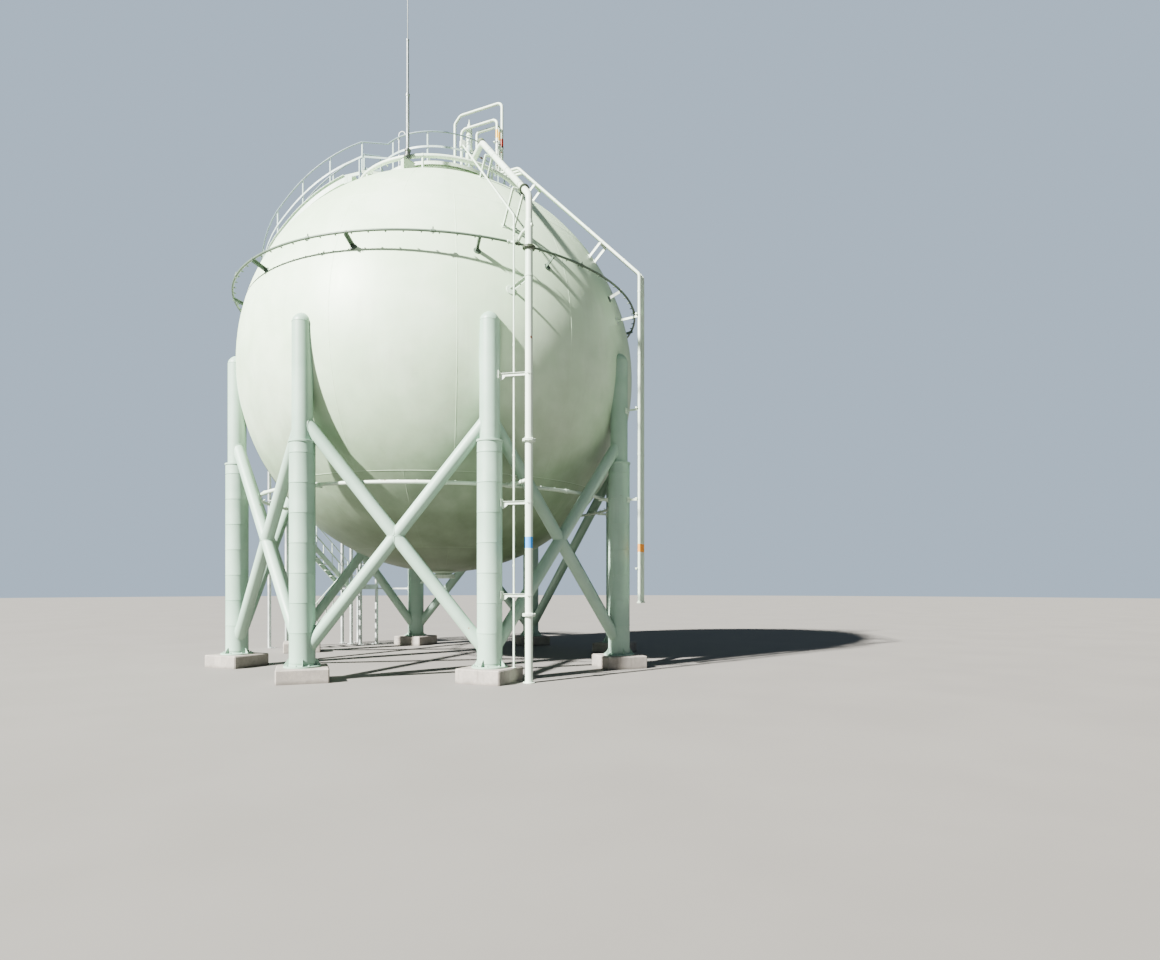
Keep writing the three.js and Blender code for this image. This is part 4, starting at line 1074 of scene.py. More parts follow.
@dataclass(frozen=True)
class Braces(SubAssembly):
    """Crossed tubes in each bay, one running through and the other butted to it, with their welds."""

    radius: float = 0.165
    foot: float = 0.65
    head: float = 6.65
    inset: float = 0.24

    def bay(self, k: int) -> Forms:
        """Both tubes of one bay with the beads at the columns and at the crossing."""
        ends, lines = (COLUMN_DEGREES[k], COLUMN_DEGREES[k] + 45), []
        for low, high in (ends, ends[::-1]):
            start, end = polar(low, COLUMN_RING, self.foot), polar(high, COLUMN_RING, self.head)
            along = unit(end - start)
            yield tube(start + along * self.inset, end - along * self.inset * 0.8, self.radius, 40)
            yield saddle_weld(start, along, self.radius, start, UP, COLUMN_SLEEVE, 1)
            yield saddle_weld(end, along, self.radius, end, UP, COLUMN_PIPE, -1)
            lines.append((start, along))
        through, (start, along) = lines
        for sign in BOTH:
            yield saddle_weld(start, along, self.radius * 0.995, *through, self.radius, sign)

    def pieces(self) -> Iterator[Piece]:
        """Eight bays."""
        for k in range(8):
            yield Piece(f"brace_{k + 1}_tubes", self.bay(k), COLUMN_COAT, stands_for=(f"brace_{k + 1}",))


# Spray pipes


@dataclass(frozen=True)
class SprayRings(SubAssembly):
    """Three rings of perforated pipe: round the shell above and below its equator, and round the top."""

    upper: Triple = (6.286, 11.06, 0.032)
    upper_ends: Pair = (-92.0, 241.0)
    upper_arms: Row = (-89, -68.5, -40, -10, 20, 39, 66, 97, 128, 159, 190, 229)
    upper_couplings: Row = (-53, -20, 9.6, 47.7, 82, 112, 143, 174, 205)
    lower: Triple = (5.575, 5.03, 0.05)
    lower_couplings: Row = (-24, 12, 49, 84, 129, 174, 219, 264, 309)
    top: Triple = (2.7, 15.0, 0.06)
    top_legs: Row = tuple(-1 + 45 * k for k in range(8))

    def nozzles(self, ring: float, height: float, radius: float, angles: Array, lift: float) -> Form:
        """Spray nozzles on a ring, pointing at the shell and up or down by a slope."""
        shape = revolve([(0, 0), (0.016, 0), (0.016, 0.028), (0.021, 0.03), (0.021, 0.045), (0.012, 0.05),
            (0.008, 0.07), (0, 0.07)], 10)
        way = unit(UP * lift - outward_at(angles))
        side = unit(np.cross(UP, way))
        return shape.placed(columns(side, np.cross(way, side), way),
            polar(angles, ring, height) + way * radius * 0.9)

    def arm(self, angle: float) -> list[Form]:
        """Bracket of the upper ring: a strap, an angle iron sloping in to the shell, and its round pad."""
        ring, height, radius = self.upper
        low, under = height - 0.2, height - radius
        spots = polar(angle, np.array([ring - 0.05, ring + 0.045]), under - 0.008)
        return [angle_bar(polar(angle, ring + 0.02, under - 0.012), polar(angle, shell_ring(low) - 0.02, low),
            0.09, 0.009), shell_pad(angle, low, 0.09), band(polar(angle, ring, height), round_at(angle),
            radius, 0.04, 0.007), bolts(spots, UP, 0.01)]

    def upper_ring(self) -> Forms:
        """The upper ring, open where the stair passes, with blind ends."""
        ring, height, radius = self.upper
        start, end = self.upper_ends
        yield hoop(ring, height, circle(radius, 20), start, end, 2.0)
        for angle in self.upper_arms:
            yield from self.arm(angle)
        for angle in self.upper_couplings:
            spot = polar(angle, ring, height)
            yield collar(spot, round_at(angle), radius, 0.13, 0.01)
            yield tube(spot - UP * 0.07, spot + UP * 0.1, 0.018, 12)
        for a, s in ((start, -1), (end, 1)):
            yield disc(polar(a, ring, height) + round_at(a) * s * -0.002, round_at(a) * s, 0.055, 0.014)
        yield self.nozzles(ring, height, radius, np.arange(start + 3, end - 2, 4.0), -0.15)

    def lower_ring(self) -> Forms:
        """The lower ring with an arm and strap at each column."""
        ring, height, radius = self.lower
        under = height - radius
        yield hoop(ring, height, circle(radius, 20))
        for angle in COLUMN_DEGREES:
            yield angle_bar(*polar(angle, np.array([ring - 0.06, COLUMN_RING - 0.31]), under - 0.01), 0.07,
                0.009)
            yield band(polar(angle, ring, height), round_at(angle), radius, 0.04, 0.007)
            yield block((0.012, 0.16, 0.18), polar(angle, COLUMN_RING - 0.318, under - 0.03),
                radial_axes(angle))
        for a in self.lower_couplings:
            yield collar(polar(a, ring, height), round_at(a), radius, 0.15, 0.012)
        yield self.nozzles(ring, height, radius, np.arange(0, 360, 5.0), 0.8)

    def top_ring(self) -> Forms:
        """The top ring on short posts with feet on the shell."""
        ring, height, radius = self.top
        foot = shell_top(ring)
        yield hoop(ring, height, circle(radius, 24))
        for angle in self.top_legs:
            out = unit(polar(angle, ring, foot - SHELL_CENTRE))
            yield tube(*polar(angle, ring, np.array([foot - 0.02, height - radius * 0.6])), 0.034)
            yield disc(polar(angle, ring, foot) - out * 0.01, out, 0.12, 0.024, 24)
            yield band(polar(angle, ring, height), round_at(angle), radius, 0.05, 0.008)
        tilt = float(unit(polar(0, ring, foot - SHELL_CENTRE))[2])
        yield self.nozzles(ring, height, radius, np.arange(3, 363, 15.0), -1.2 * tilt)

    def pieces(self) -> Iterator[Piece]:
        """The three rings."""
        # The upper ring's dark olive coat is painted shade.
        yield Piece("upper_ring_pipe", self.upper_ring(), SHADED_RING_COAT, stands_for=("upper_spray_ring",))
        yield Piece("lower_ring_pipe", self.lower_ring(), PIPE_COAT, stands_for=("lower_spray_ring",))
        yield Piece("top_ring_pipe", self.top_ring(), PIPE_COAT, stands_for=("top_spray_ring",))


def run_stand(spot: Array, way: Array, drop: float, spread: float) -> Forms:
    """A cross bar under a sloping run on two legs with foot plates that stand square to it on the shell.

    A leg ends where |spot - centre + down t| is the shell's radius, with down square to the run.

    Args:
        spot: Place on the run's middle line.
        way: Direction of the run.
        drop: How far under it the bar lies.
        spread: Distance between the legs.

    Yields:
        The stand's forms.
    """
    side, across = 0.05, unit(np.cross(UP, way))
    down = np.cross(across, way) * np.sign(np.cross(across, way)[2]) * -1
    yield block((spread + side, side, side), spot + down * drop, columns(across, way, -down))
    start = spot - UP * SHELL_CENTRE
    near = -float(start @ down)
    reach = near - math.sqrt(near**2 - float(start @ start) + SHELL_RADIUS**2)
    for sign in (-0.5, 0.5):
        top, foot = (spot + across * sign * spread + down * d for d in (drop, reach))
        out = unit(foot - UP * SHELL_CENTRE)
        yield angle_bar(top, foot, side + 0.02, 0.01)
        yield block((0.14, 0.12, 0.014), foot + out * 0.004, basis(out, across))


def run_height(ring: float, low: Pair, high: Pair) -> float:
    """Height at a distance from the axis on a line between two points of distance and height."""
    return low[1] + (low[0] - ring) * (high[1] - low[1]) / (low[0] - high[0])


def column_end(start: Array, column: int, reach: Pair) -> tuple[Array, Array]:
    """End and direction of a level bar from a point to a column.

    Args:
        start: The bar's free end.
        column: Number of the column, from 0.
        reach: Distance from the column's axis to the bar's end, above the sleeve and beside it.

    Returns:
        The end and the direction.
    """
    axis = polar(COLUMN_DEGREES[column], COLUMN_RING, start[2])
    way = unit(axis - start)
    return axis - way * reach[0 if start[2] > SLEEVE_TOP else 1], way


@dataclass(frozen=True)
class WaterRiser(SubAssembly):
    """The riser: up beside a column, over the shell and into the top ring, with branches to the others."""

    angle: float = 29.7
    ring: float = 6.8
    radius: float = 0.095
    slim: float = 0.082
    bend: float = 12.08
    head: Pair = (3.55, 15.12)
    bend_radius: float = 0.32
    reducer: float = 11.37
    flanges: Row = (1.68, 6.0, 10.76)
    arms: Row = (2.17, 4.47, 7.66)
    stands: tuple[Pair, ...] = ((6.262, 0.3), (4.2, 0.2))

    def at(self, height: float) -> Array:
        """A point of the upright run's middle line."""
        return polar(self.angle, self.ring, height)

    def rise(self) -> Array:
        """The sloping run, from the bend to the head."""
        return polar(self.angle, *self.head) - self.at(self.bend)

    def main_pipe(self) -> Forms:
        """The pipe itself: thick below the reducer, slim above it, its joints and elbow straps."""
        r, cone = self.radius, self.reducer
        yield revolve([(0, 0), (r, 0), (r, cone), (r, cone + 0.02), (self.slim, cone + 0.09),
            (0, cone + 0.09)], 32, origin=self.at(0))
        corners = [self.at(cone), self.at(self.bend), polar(self.angle, *self.head),
            polar(self.angle, 2.83, 15.0)]
        yield pipe(corners, self.slim, self.bend_radius, round_at(self.angle), 28, 10)
        yield disc(self.at(0), UP, 0.15, 0.02)
        for s in (0.42, 0.7):
            yield collar(self.at(self.bend) + self.rise() * s, self.rise(), self.slim, 0.03, 0.007)
        for height in self.flanges[:-1]:
            yield flange_pair(self.at(height), UP, r, 0.165, 0.026)

    def dark_fittings(self) -> Forms:
        """Strap above the bend, cap of the head, the upper flange pair, and the upper branch's flange."""
        head, way = polar(self.angle, *self.head), unit(self.rise())
        spot = self.at(self.bend) + way * 0.42
        yield band(spot, way, self.slim, 0.05, 0.035)
        yield band(spot - way * 0.035, way, self.slim, 0.012, 0.05)
        yield disc(head - way * 0.02, way, 0.1, 0.14, 28, 0.02)
        yield flange_pair(self.at(self.flanges[-1]), UP, self.radius, 0.165, 0.026)
        yield flange_pair(polar(28.3, 6.42, 11.0), outward_at(28.3) + UP * 0.9, 0.04, 0.1, 0.018, 6, 24)

    def sloping_branch(self) -> Forms:
        """The upper branch: out of the riser's side, down through its flanges and into a tee of the ring."""
        start, low = self.at(11.27), polar(27.2, 6.286, 11.06)
        second = polar(28.9, 6.62, 11.2)
        yield pipe([start, second, polar(28.3, 6.42, 11.0), low], 0.04, 0.06, UP, 20, 6)
        yield collar(start, second - start, 0.04, 0.24, 0.012)
        yield collar(low, round_at(27.2), 0.032, 0.2, 0.014)

    def branch(self, ring: float, height: float, pipe_radius: float) -> Forms:
        """Branch from the riser into a ring: stub, flange pair with valve body and handwheel, and tee."""
        out, along = outward_at(self.angle), round_at(self.angle)
        end, middle = polar(self.angle, ring, height), polar(self.angle, ring + 0.28, height)
        wheel = middle + UP * 0.22
        yield tube(self.at(height), end, 0.05, 24)
        yield flange_pair(middle, out, 0.05, 0.095, 0.018, 4, 24)
        yield collar(end, along, pipe_radius, 0.24, 0.016)
        yield tube(middle - UP * 0.02, middle + UP * 0.15, 0.04)
        yield tube(middle, wheel, 0.012, 12)
        yield sweep(wheel + disc_ring(UP, 0.075), circle(0.009, 8), UP, True)
        for v in (out, along):
            yield flat_bar(wheel - v * 0.072, wheel + v * 0.072, 0.012, 0.008)

    def shell_arm(self, height: float, angle: float, low: float) -> Forms:
        """An angle iron from a strap on the riser down to a pad on the shell."""
        start = self.at(height)
        yield angle_bar(start, polar(angle, shell_ring(low), low), 0.075, 0.009, -1)
        yield band(start, UP, self.radius, 0.05, 0.01)
        yield shell_pad(angle, low, 0.12)

    def column_arm(self, height: float) -> Forms:
        """A T-shaped arm from the column's end plate to a strap round the riser."""
        start = self.at(height)
        root, way = column_end(start, 0, (COLUMN_PIPE + 0.01, COLUMN_SLEEVE + 0.01))
        tip, side = start - way * 0.02, np.cross(way, UP)
        yield flat_bar(tip + UP * 0.028, root + UP * 0.028, 0.075, 0.01)
        yield flat_bar(tip - UP * 0.01, root - UP * 0.01, 0.01, 0.068)
        yield block((0.2, 0.014, 0.2), root + way * 0.008, columns(side, way, UP))
        yield prism([(0, 0), (0.14, 0), (0.14, -0.03), (0.03, -0.12), (0, -0.12)], 0.012, root - UP * 0.03,
            columns(-way, UP, np.cross(-way, UP)))
        yield band(start, UP, self.radius, 0.05, 0.008)
        yield bolts([start + side * s * 0.125 - UP * 0.02 for s in BOTH], UP, 0.014)

    def pipework(self) -> Forms:
        """The riser with all that is clipped to it."""
        for part in (self.main_pipe(), self.sloping_branch(), self.branch(5.575, 5.03, 0.05),
                self.shell_arm(10.07, 27.8, 9.92), *map(self.column_arm, self.arms)):
            yield from part
        way = unit(self.rise())
        for ring, spread in self.stands:
            spot = polar(self.angle, ring, run_height(ring, (self.ring, self.bend), self.head))
            yield from run_stand(spot, way, self.radius + 0.02, spread)
            yield band(spot, way, self.slim, 0.04, 0.009)

    def pieces(self) -> Iterator[Piece]:
        """The pipework and its dark fittings."""
        yield Piece("riser_pipework", self.pipework(), RISER_COAT, stands_for=("water_riser",))
        # The riser's dark fittings are in a dark olive coat that is painted shade.
        yield Piece("riser_dark_fittings", self.dark_fittings(), SHADE_OLIVE_COAT)


@dataclass(frozen=True)
class Conduit(SubAssembly):
    """The thin cable conduit beside the riser, with its clips and the box on the platform rail."""

    angle: float = 27.3
    ring: float = 6.4985
    radius: float = 0.024
    foot: float = 0.3603
    bend: float = 11.63
    head: Pair = (2.12, 15.81)

    def forms(self) -> Forms:
        """The pipe with its foot, its stay on the top ring, its couplings and its box with a lid."""
        a, r, axes = self.angle, self.radius, radial_axes(self.angle)
        corners = [polar(a, self.ring, self.foot), polar(a, self.ring, self.bend), polar(a, *self.head)]
        rise = corners[2] - corners[1]
        way, over = unit(rise), run_height(2.7, (self.ring, self.bend), self.head)
        yield pipe(corners, r, 0.2, round_at(a), 16)
        yield disc(corners[0], UP, 0.06, 0.012, 20)
        yield block((0.03, 0.06, over - 15.05), polar(a, 2.7, (over + 15.05) / 2), axes)
        yield band(polar(a, 2.7, over), way, r, 0.03, 0.006)
        for height in np.arange(2.9, 11.4, 2.75):
            yield collar(polar(a, self.ring, height), UP, r, 0.07, 0.006, 16)
        for s in (0.3, 0.62):
            yield collar(corners[1] + rise * s, way, r, 0.07, 0.006, 16)
        yield block((0.12, 0.16, 0.2), corners[2] - way * 0.02 + UP * 0.02, axes, 0.012)
        yield block((0.012, 0.15, 0.19), corners[2] + outward_at(a) * 0.05 + UP * 0.02, axes)

    def pieces(self) -> Iterator[Piece]:
        """The conduit."""
        yield Piece("conduit_run", self.forms(), PIPE_COAT, stands_for=("conduit",))


# Relief pipes and valve


@dataclass(frozen=True)
class ReliefPipes(SubAssembly):
    """Three vent pipes in a row: up beside a column, over the shell, up, over and down at the platform."""

    angle: float = 66.7
    ring: float = 6.9
    radius: float = 0.043
    bend: float = 11.4
    head: Pair = (2.9, 15.42)
    up_ring: float = 2.135
    spacing: float = 0.15
    bend_radius: float = 0.17
    foot: float = 1.9
    flange: Pair = (0.072, 0.036)
    arms: Row = (4.92, 7.54)
    stands: Row = (5.746, 3.54)
    stay: Triple = (10.25, 68.4, 10.27)
    valve_reach: float = 1.1703
    clamp_heights: Row = (15.9, 16.42)

    def at(self, ring: float, height: float, place: int = 0) -> Array:
        """A point in a pipe's own plane."""
        return polar(self.angle, ring, height) + round_at(self.angle) * place * self.spacing

    def one_pipe(self, place: int, top: float, down_ring: float, foot: float,
            slope: float = 0.0) -> Forms:
        """One pipe with its foot flange and couplings.

        Args:
            place: -1, 0 or 1 across the row.
            top: Height of its crown.
            down_ring: Distance from the axis of its downward leg.
            foot: Height where that leg ends.
            slope: Length of the sloping corner before it, or zero.

        Yields:
            The pipe's forms.
        """
        line = [(self.ring, self.foot), (self.ring, self.bend), self.head, (self.up_ring, self.head[1]),
            (self.up_ring, top)]
        line += [(down_ring + slope, top), (down_ring, top - slope)] if slope else [(down_ring, top)]
        line += [(down_ring, foot)] + [(self.valve_reach, foot)] * (place == 0)
        corners = [self.at(*spot, place) for spot in line]
        yield pipe(corners, self.radius, self.bend_radius if place else 0.1, round_at(self.angle))
        radius, height = self.flange
        yield disc(corners[0], UP, radius, 0.016)
        yield disc(corners[0] + UP * 0.02, UP, radius, height - 0.02)
        yield bolt_circle(corners[0] + UP * height, UP, 0.058, 4, 0.008)
        rise = corners[2] - corners[1]
        joints = [(self.at(self.ring, h, place), UP) for h in (3.05 + 0.12 * place, 6.2, 9.1, 10.9)]
        joints += [(corners[1] + rise * s, rise) for s in (0.12, 0.4, 0.68)]
        for spot, way in [*joints, (self.at(self.up_ring, 16.2, place), UP)]:
            yield collar(spot, way, self.radius, 0.07, 0.006)

    def straps(self, ring: float, height: float, way: Array, thick: float = 0.006) -> list[Form]:
        """A strap round each of the three pipes."""
        return [band(self.at(ring, height, p), way, self.radius, 0.035, thick) for p in (-1, 0, 1)]

    def ties(self) -> Forms:
        """Cross angles with straps on the upright run, their arms to the column and to the shell."""
        width, axes = 2 * self.spacing + 4 * self.radius, radial_axes(self.angle)
        back = self.ring - self.radius - 0.028
        for height in (*self.arms, self.stay[0], 2.9):
            yield block((0.05, width, 0.05), self.at(back, height), axes)
            yield from self.straps(self.ring, height, UP)
            yield bolts([self.at(back + 0.026, height) + axes[:, 1] * s for s in (-0.21, -0.075, 0.075,
                0.21)], outward_at(self.angle), 0.01)
        for height in self.arms:
            start = self.at(self.ring - self.radius - 0.03, height)
            root, way = column_end(start, 1, (0.26, 0.322))
            yield angle_bar(start, root, 0.06, 0.008)
            yield block((0.17, 0.012, 0.17), root, columns(np.cross(UP, way), way, UP))
        height, angle, low = self.stay
        yield angle_bar(self.at(self.ring - 0.07, height), polar(angle, shell_ring(low), low), 0.06, 0.008)
        yield shell_pad(angle, low)
        bend = (self.ring, self.bend)
        run = unit(self.at(*self.head) - self.at(*bend))
        for ring in self.stands:
            height = run_height(ring, bend, self.head)
            yield from run_stand(self.at(ring, height), run, self.radius + 0.031,
                2 * (self.spacing + self.radius))
            yield from self.straps(ring, height, run)
        for height in self.clamp_heights:
            yield block((0.045, width, 0.03), self.at(self.up_ring - self.radius - 0.02, height), axes)

    def pieces(self) -> Iterator[Piece]:
        """The gooseneck, the middle pipe with the supports, the left pipe and the dark clamps."""
        yield Piece("gooseneck_vent", self.one_pipe(1, 17.87, 0.34, 15.2, 0.22), GOOSENECK_COAT,
            stands_for=("vent_pipe_gooseneck",))
        yield Piece("middle_vent", [*self.one_pipe(0, 17.03, 1.29, 16.35), *self.ties()], VENT_COAT,
            stands_for=("vent_pipe_middle",))
        yield Piece("left_vent", self.one_pipe(-1, 17.16, 0.8, 15.19), VENT_COAT,
            stands_for=("vent_pipe_left",))
        clamps = [self.straps(self.up_ring, height, UP, 0.008) for height in self.clamp_heights]
        yield Piece("vent_clamps", sum(clamps, []), DARK)


@dataclass(frozen=True)
class ReliefValve(SubAssembly):
    """Spring relief valve on its inlet pipe, with a shut-off valve and handwheel below it."""

    angle: float = 66.7
    ring: float = 0.995
    foot: float = 15.2403
    inlet: float = 16.05
    top: float = 17.54
    outlet: float = 0.175
    outlet_height: float = 16.35

    def forms(self) -> Forms:
        """The valve with its pipe, its flanges and its handwheel."""
        spot, out, along = polar(self.angle, self.ring, 0), outward_at(self.angle), round_at(self.angle)
        i, t, bore = self.inlet, self.top, 0.062
        lower = [(0, 0.05), (0.085, 0.05), (0.075, 0.09), (0.105, 0.15), (0.118, 0.24), (0.118, 0.36),
            (0.1, 0.42), (0.1, 0.43), (0.142, 0.432), (0.145, 0.436), (0.145, 0.454), (0.14, 0.458),
            (0.14, 0.462), (0.145, 0.466), (0.145, 0.484), (0.14, 0.488), (0.095, 0.49)]
        upper = [(0.1, -0.44), (0.1, -0.38), (0.08, -0.28), (0.03, -0.12), (0.014, -0.06), (0.01, -0.01),
            (0, 0)]
        body = [(r, i + h) for r, h in lower]
        for k in range(5):
            low = i + 0.51 + 0.1 * k
            body += [(0.09, low), (0.106, low + 0.02), (0.106, low + 0.05), (0.09, low + 0.07)]
        body += [(r, t + h) for r, h in upper]
        foot, stop, mouth = (spot + UP * h for h in (self.foot, 15.72, self.outlet_height))
        wheel = stop + along * 0.36
        yield tube(foot, spot + UP * (i + 0.06), bore, 24)
        yield revolve(body, 32, origin=spot)
        yield disc(foot, UP, 0.14, 0.02)
        for height, radius, half in ((i + 0.03, 0.14, 0.026), (15.47, 0.13, 0.022), (15.94, 0.13, 0.02)):
            yield flange_pair(spot + UP * height, UP, bore, radius, half)
        yield revolve([(0, -0.16), (0.07, -0.15), (0.12, -0.06), (0.125, 0), (0.12, 0.06), (0.07, 0.15),
            (0, 0.16)], 28, origin=stop)
        yield bolt_circle(spot + UP * (i + 0.488), UP, 0.12, 8, 0.013)
        yield tube(stop, stop + along * 0.26, 0.045, 20)
        yield tube(stop + along * 0.2, wheel + along * 0.03, 0.014, 12)
        yield sweep(wheel + disc_ring(along, 0.14, 36), circle(0.012, 8), along, True)
        for v in (UP, out):
            yield tube(wheel - v * 0.135, wheel + v * 0.135, 0.008, 8)
        yield tube(mouth, mouth + out * self.outlet, bore, 24)
        yield flange_pair(mouth + out * (self.outlet - 0.03), out, bore, 0.1, 0.018, 6, 24)

    def pieces(self) -> Iterator[Piece]:
        """The valve."""
        yield Piece("spring_relief_valve", self.forms(), PIPE_COAT, stands_for=("relief_valve",))


# The top platform

DECK_TOP = 15.24
GATE = (-67.0, -45.0)


def station_walk() -> list[tuple[float, float, float, float, float]]:
    """Stations of the upper flight as angle, ring, height, outward share and round share.

    Each station is a going of 0.24 m further along a sphere of 6.65 m and never more than a rise of
    0.22 m lower: with fall r / (z - centre), the outward share is the smaller of 0.88 and rise / (going
    fall), and the rest of the going runs round the shell.
    """
    shell, rise, going = 6.65, 0.22, 0.24
    ring, angle = 2.6, -61.5
    height = SHELL_CENTRE + math.sqrt(shell**2 - ring**2)
    found = []
    while height > 9.45:
        fall = ring / (height - SHELL_CENTRE)
        out = going * min(0.88, rise / (going * fall))
        turn = -math.sqrt(going**2 - out**2)
        found.append((angle, ring, height, out / going, turn / going))
        angle += math.degrees(math.atan2(turn, ring + out))
        height -= out * fall
        ring = math.sqrt(shell**2 - (height - SHELL_CENTRE) ** 2)
    return found


STATIONS = np.array(station_walk())
STATION_SPOTS = polar(STATIONS[:, 0], STATIONS[:, 1], STATIONS[:, 2])
STATION_RADIAL = polar(STATIONS[:, 0], 1.0, 0.0)
STATION_ROUND = polar(STATIONS[:, 0] + 90, 1.0, 0.0)
STATION_WALK = STATION_RADIAL * STATIONS[:, 3:4] + STATION_ROUND * STATIONS[:, 4:5]
STATION_OUTER = STATION_ROUND * STATIONS[:, 3:4] - STATION_RADIAL * STATIONS[:, 4:5]
STAIR_WIDTH = 0.7
FLAT_RAIL = np.array([(-0.004, -0.028), (0.004, -0.028), (0.004, 0.028), (-0.004, 0.028)])


def rail_post(foot: Array, tall: float) -> Form:
    """An angle iron that stands up to just under a top rail."""
    return angle_bar(foot, foot + UP * (tall - 0.008), 0.05, 0.007)


@dataclass(frozen=True)
class Platform(SubAssembly):
    """Ring of deck on a skirt, the landing at its gate, and its railing."""

    inner: float = 0.9
    outer: float = 2.05
    skirt: float = 1.85
    thick: float = 0.04
    edge: float = 0.1
    rail: float = 0.9
    mid: float = 0.45
    posts: Row = tuple(-38 + 36 * k for k in range(10))

    def landing(self) -> tuple[Array, Array, Array]:
        """Both ends of the landing at deck height, and its sideways direction."""
        start = polar(sum(GATE) / 2, self.outer - self.edge, DECK_TOP)
        end = STATION_SPOTS[0] * GROUND_PLAN + UP * DECK_TOP
        return start, end, unit(np.cross(UP, end - start))

    def corners(self) -> list[Array]:
        """The outer corners of the landing, under its rails."""
        _, end, side = self.landing()
        return [end + side * s * (STAIR_WIDTH / 2 - 0.025) for s in BOTH]

    def deck(self) -> Forms:
        """Chequer plate on ribs, edge strip, skirt with its foot ring, and the landing on its legs."""
        i, o, s, top, under = self.inner, self.outer, self.skirt, DECK_TOP, DECK_TOP - self.thick
        sole = shell_top(s) - 0.01
        plate = [(i, top), (i, top - 0.01), (i + 0.012, top - 0.01), (i + 0.012, under), (s - 0.006, under),
            (s - 0.006, sole), (s + 0.012, sole), (s + 0.012, under), (o - 0.012, under),
            (o - 0.012, top - self.edge), (o, top - self.edge), (o, top - 0.003), (o - 0.003, top)]
        foot = [(-0.02, -0.005), (0.04, -0.03), (0.04, 0.006), (0.012, 0.02), (-0.02, 0.02)]
        yield revolve(plate, 120, True)
        yield revolve([(s + r, sole + h) for r, h in foot], 96, True)
        for angle in range(0, 360, 15):
            yield block((0.16, 0.01, 0.07), polar(angle, o - 0.095, under - 0.034), radial_axes(angle))
        start, end, side = self.landing()
        half = STAIR_WIDTH / 2 + 0.03
        yield block((2 * half, self.thick, float(np.linalg.norm(end - start))),
            (start + end) / 2 - UP * self.thick / 2, basis(end - start))
        for s in BOTH:
            over = side * s * half
            yield flat_bar(start + over - UP * 0.05, end + over - UP * 0.05, 0.008, 0.1)
        for s in BOTH:
            leg = (end + unit(start - end) * 0.17 + side * s * 0.29) * GROUND_PLAN
            ground = shell_top(float(np.hypot(leg[0], leg[1])))
            out = unit(leg + UP * (ground - SHELL_CENTRE))
            yield block((0.06, 0.06, DECK_TOP - 0.03 - ground), leg + UP * (DECK_TOP - 0.03 + ground) / 2,
                radial_axes(GATE[0]))
            yield disc(leg + UP * ground - out * 0.012, out, 0.09, 0.024, 20)

    def railing(self) -> tuple[list[Form], list[Form]]:
        """Flat knee rail on angle posts with foot plates, and the thin top rail, both with gate corners."""
        ring, ends = self.outer - 0.022, (GATE[1], GATE[0] + 360, 2.0)
        top, mid = DECK_TOP + self.rail, DECK_TOP + self.mid
        frame, rails = [hoop(ring, mid, FLAT_RAIL, *ends)], [hoop(ring, top, circle(0.02, 12), *ends)]
        for angle in self.posts:
            foot = polar(angle, ring - 0.012, DECK_TOP)
            frame += [rail_post(foot, self.rail), block((0.06, 0.1, 0.01), foot + UP * 0.0055,
                radial_axes(angle))]
        for corner, gate in zip(self.corners(), GATE):
            frame += [rail_post(corner, self.rail), flat_bar(polar(gate, ring, mid), corner + UP * self.mid,
                0.008, 0.056)]
            rails.append(tube(polar(gate, ring, top), corner + UP * self.rail, 0.02, 12))
        return frame, rails

    def hooked_vent(self) -> Forms:
        """A thin breather pipe clipped to the rail, hooked over at its top."""
        angle, ring, top = -31.0, 1.985, 16.24
        foot, side = polar(angle, ring, DECK_TOP), round_at(angle + 25)
        turn = np.radians(np.linspace(0, 200, 22))[:, None]
        hook = foot + UP * (top - DECK_TOP) + side * 0.1 * (1 - np.cos(turn)) + UP * 0.1 * np.sin(turn)
        yield sweep(np.concatenate([foot[None], hook]), circle(0.012, 12), np.cross(side, UP))
        yield block((0.05, 0.06, 0.03), polar(angle, ring + 0.012, DECK_TOP + self.rail - 0.03),
            radial_axes(angle))

    def pieces(self) -> Iterator[Piece]:
        """Deck, railing and the hooked vent."""
        yield Piece("deck_ring", self.deck(), DECK_COAT, stands_for=("platform_deck",))
        frame, rails = self.railing()
        yield Piece("deck_rail_posts", frame, RAIL_COAT, Slot.ZINC, ("platform_railing",))
        yield Piece("deck_handrail", rails, HANDRAIL_COAT, Slot.ZINC)
        yield Piece("hooked_breather", self.hooked_vent(), ZINC, Slot.ZINC)


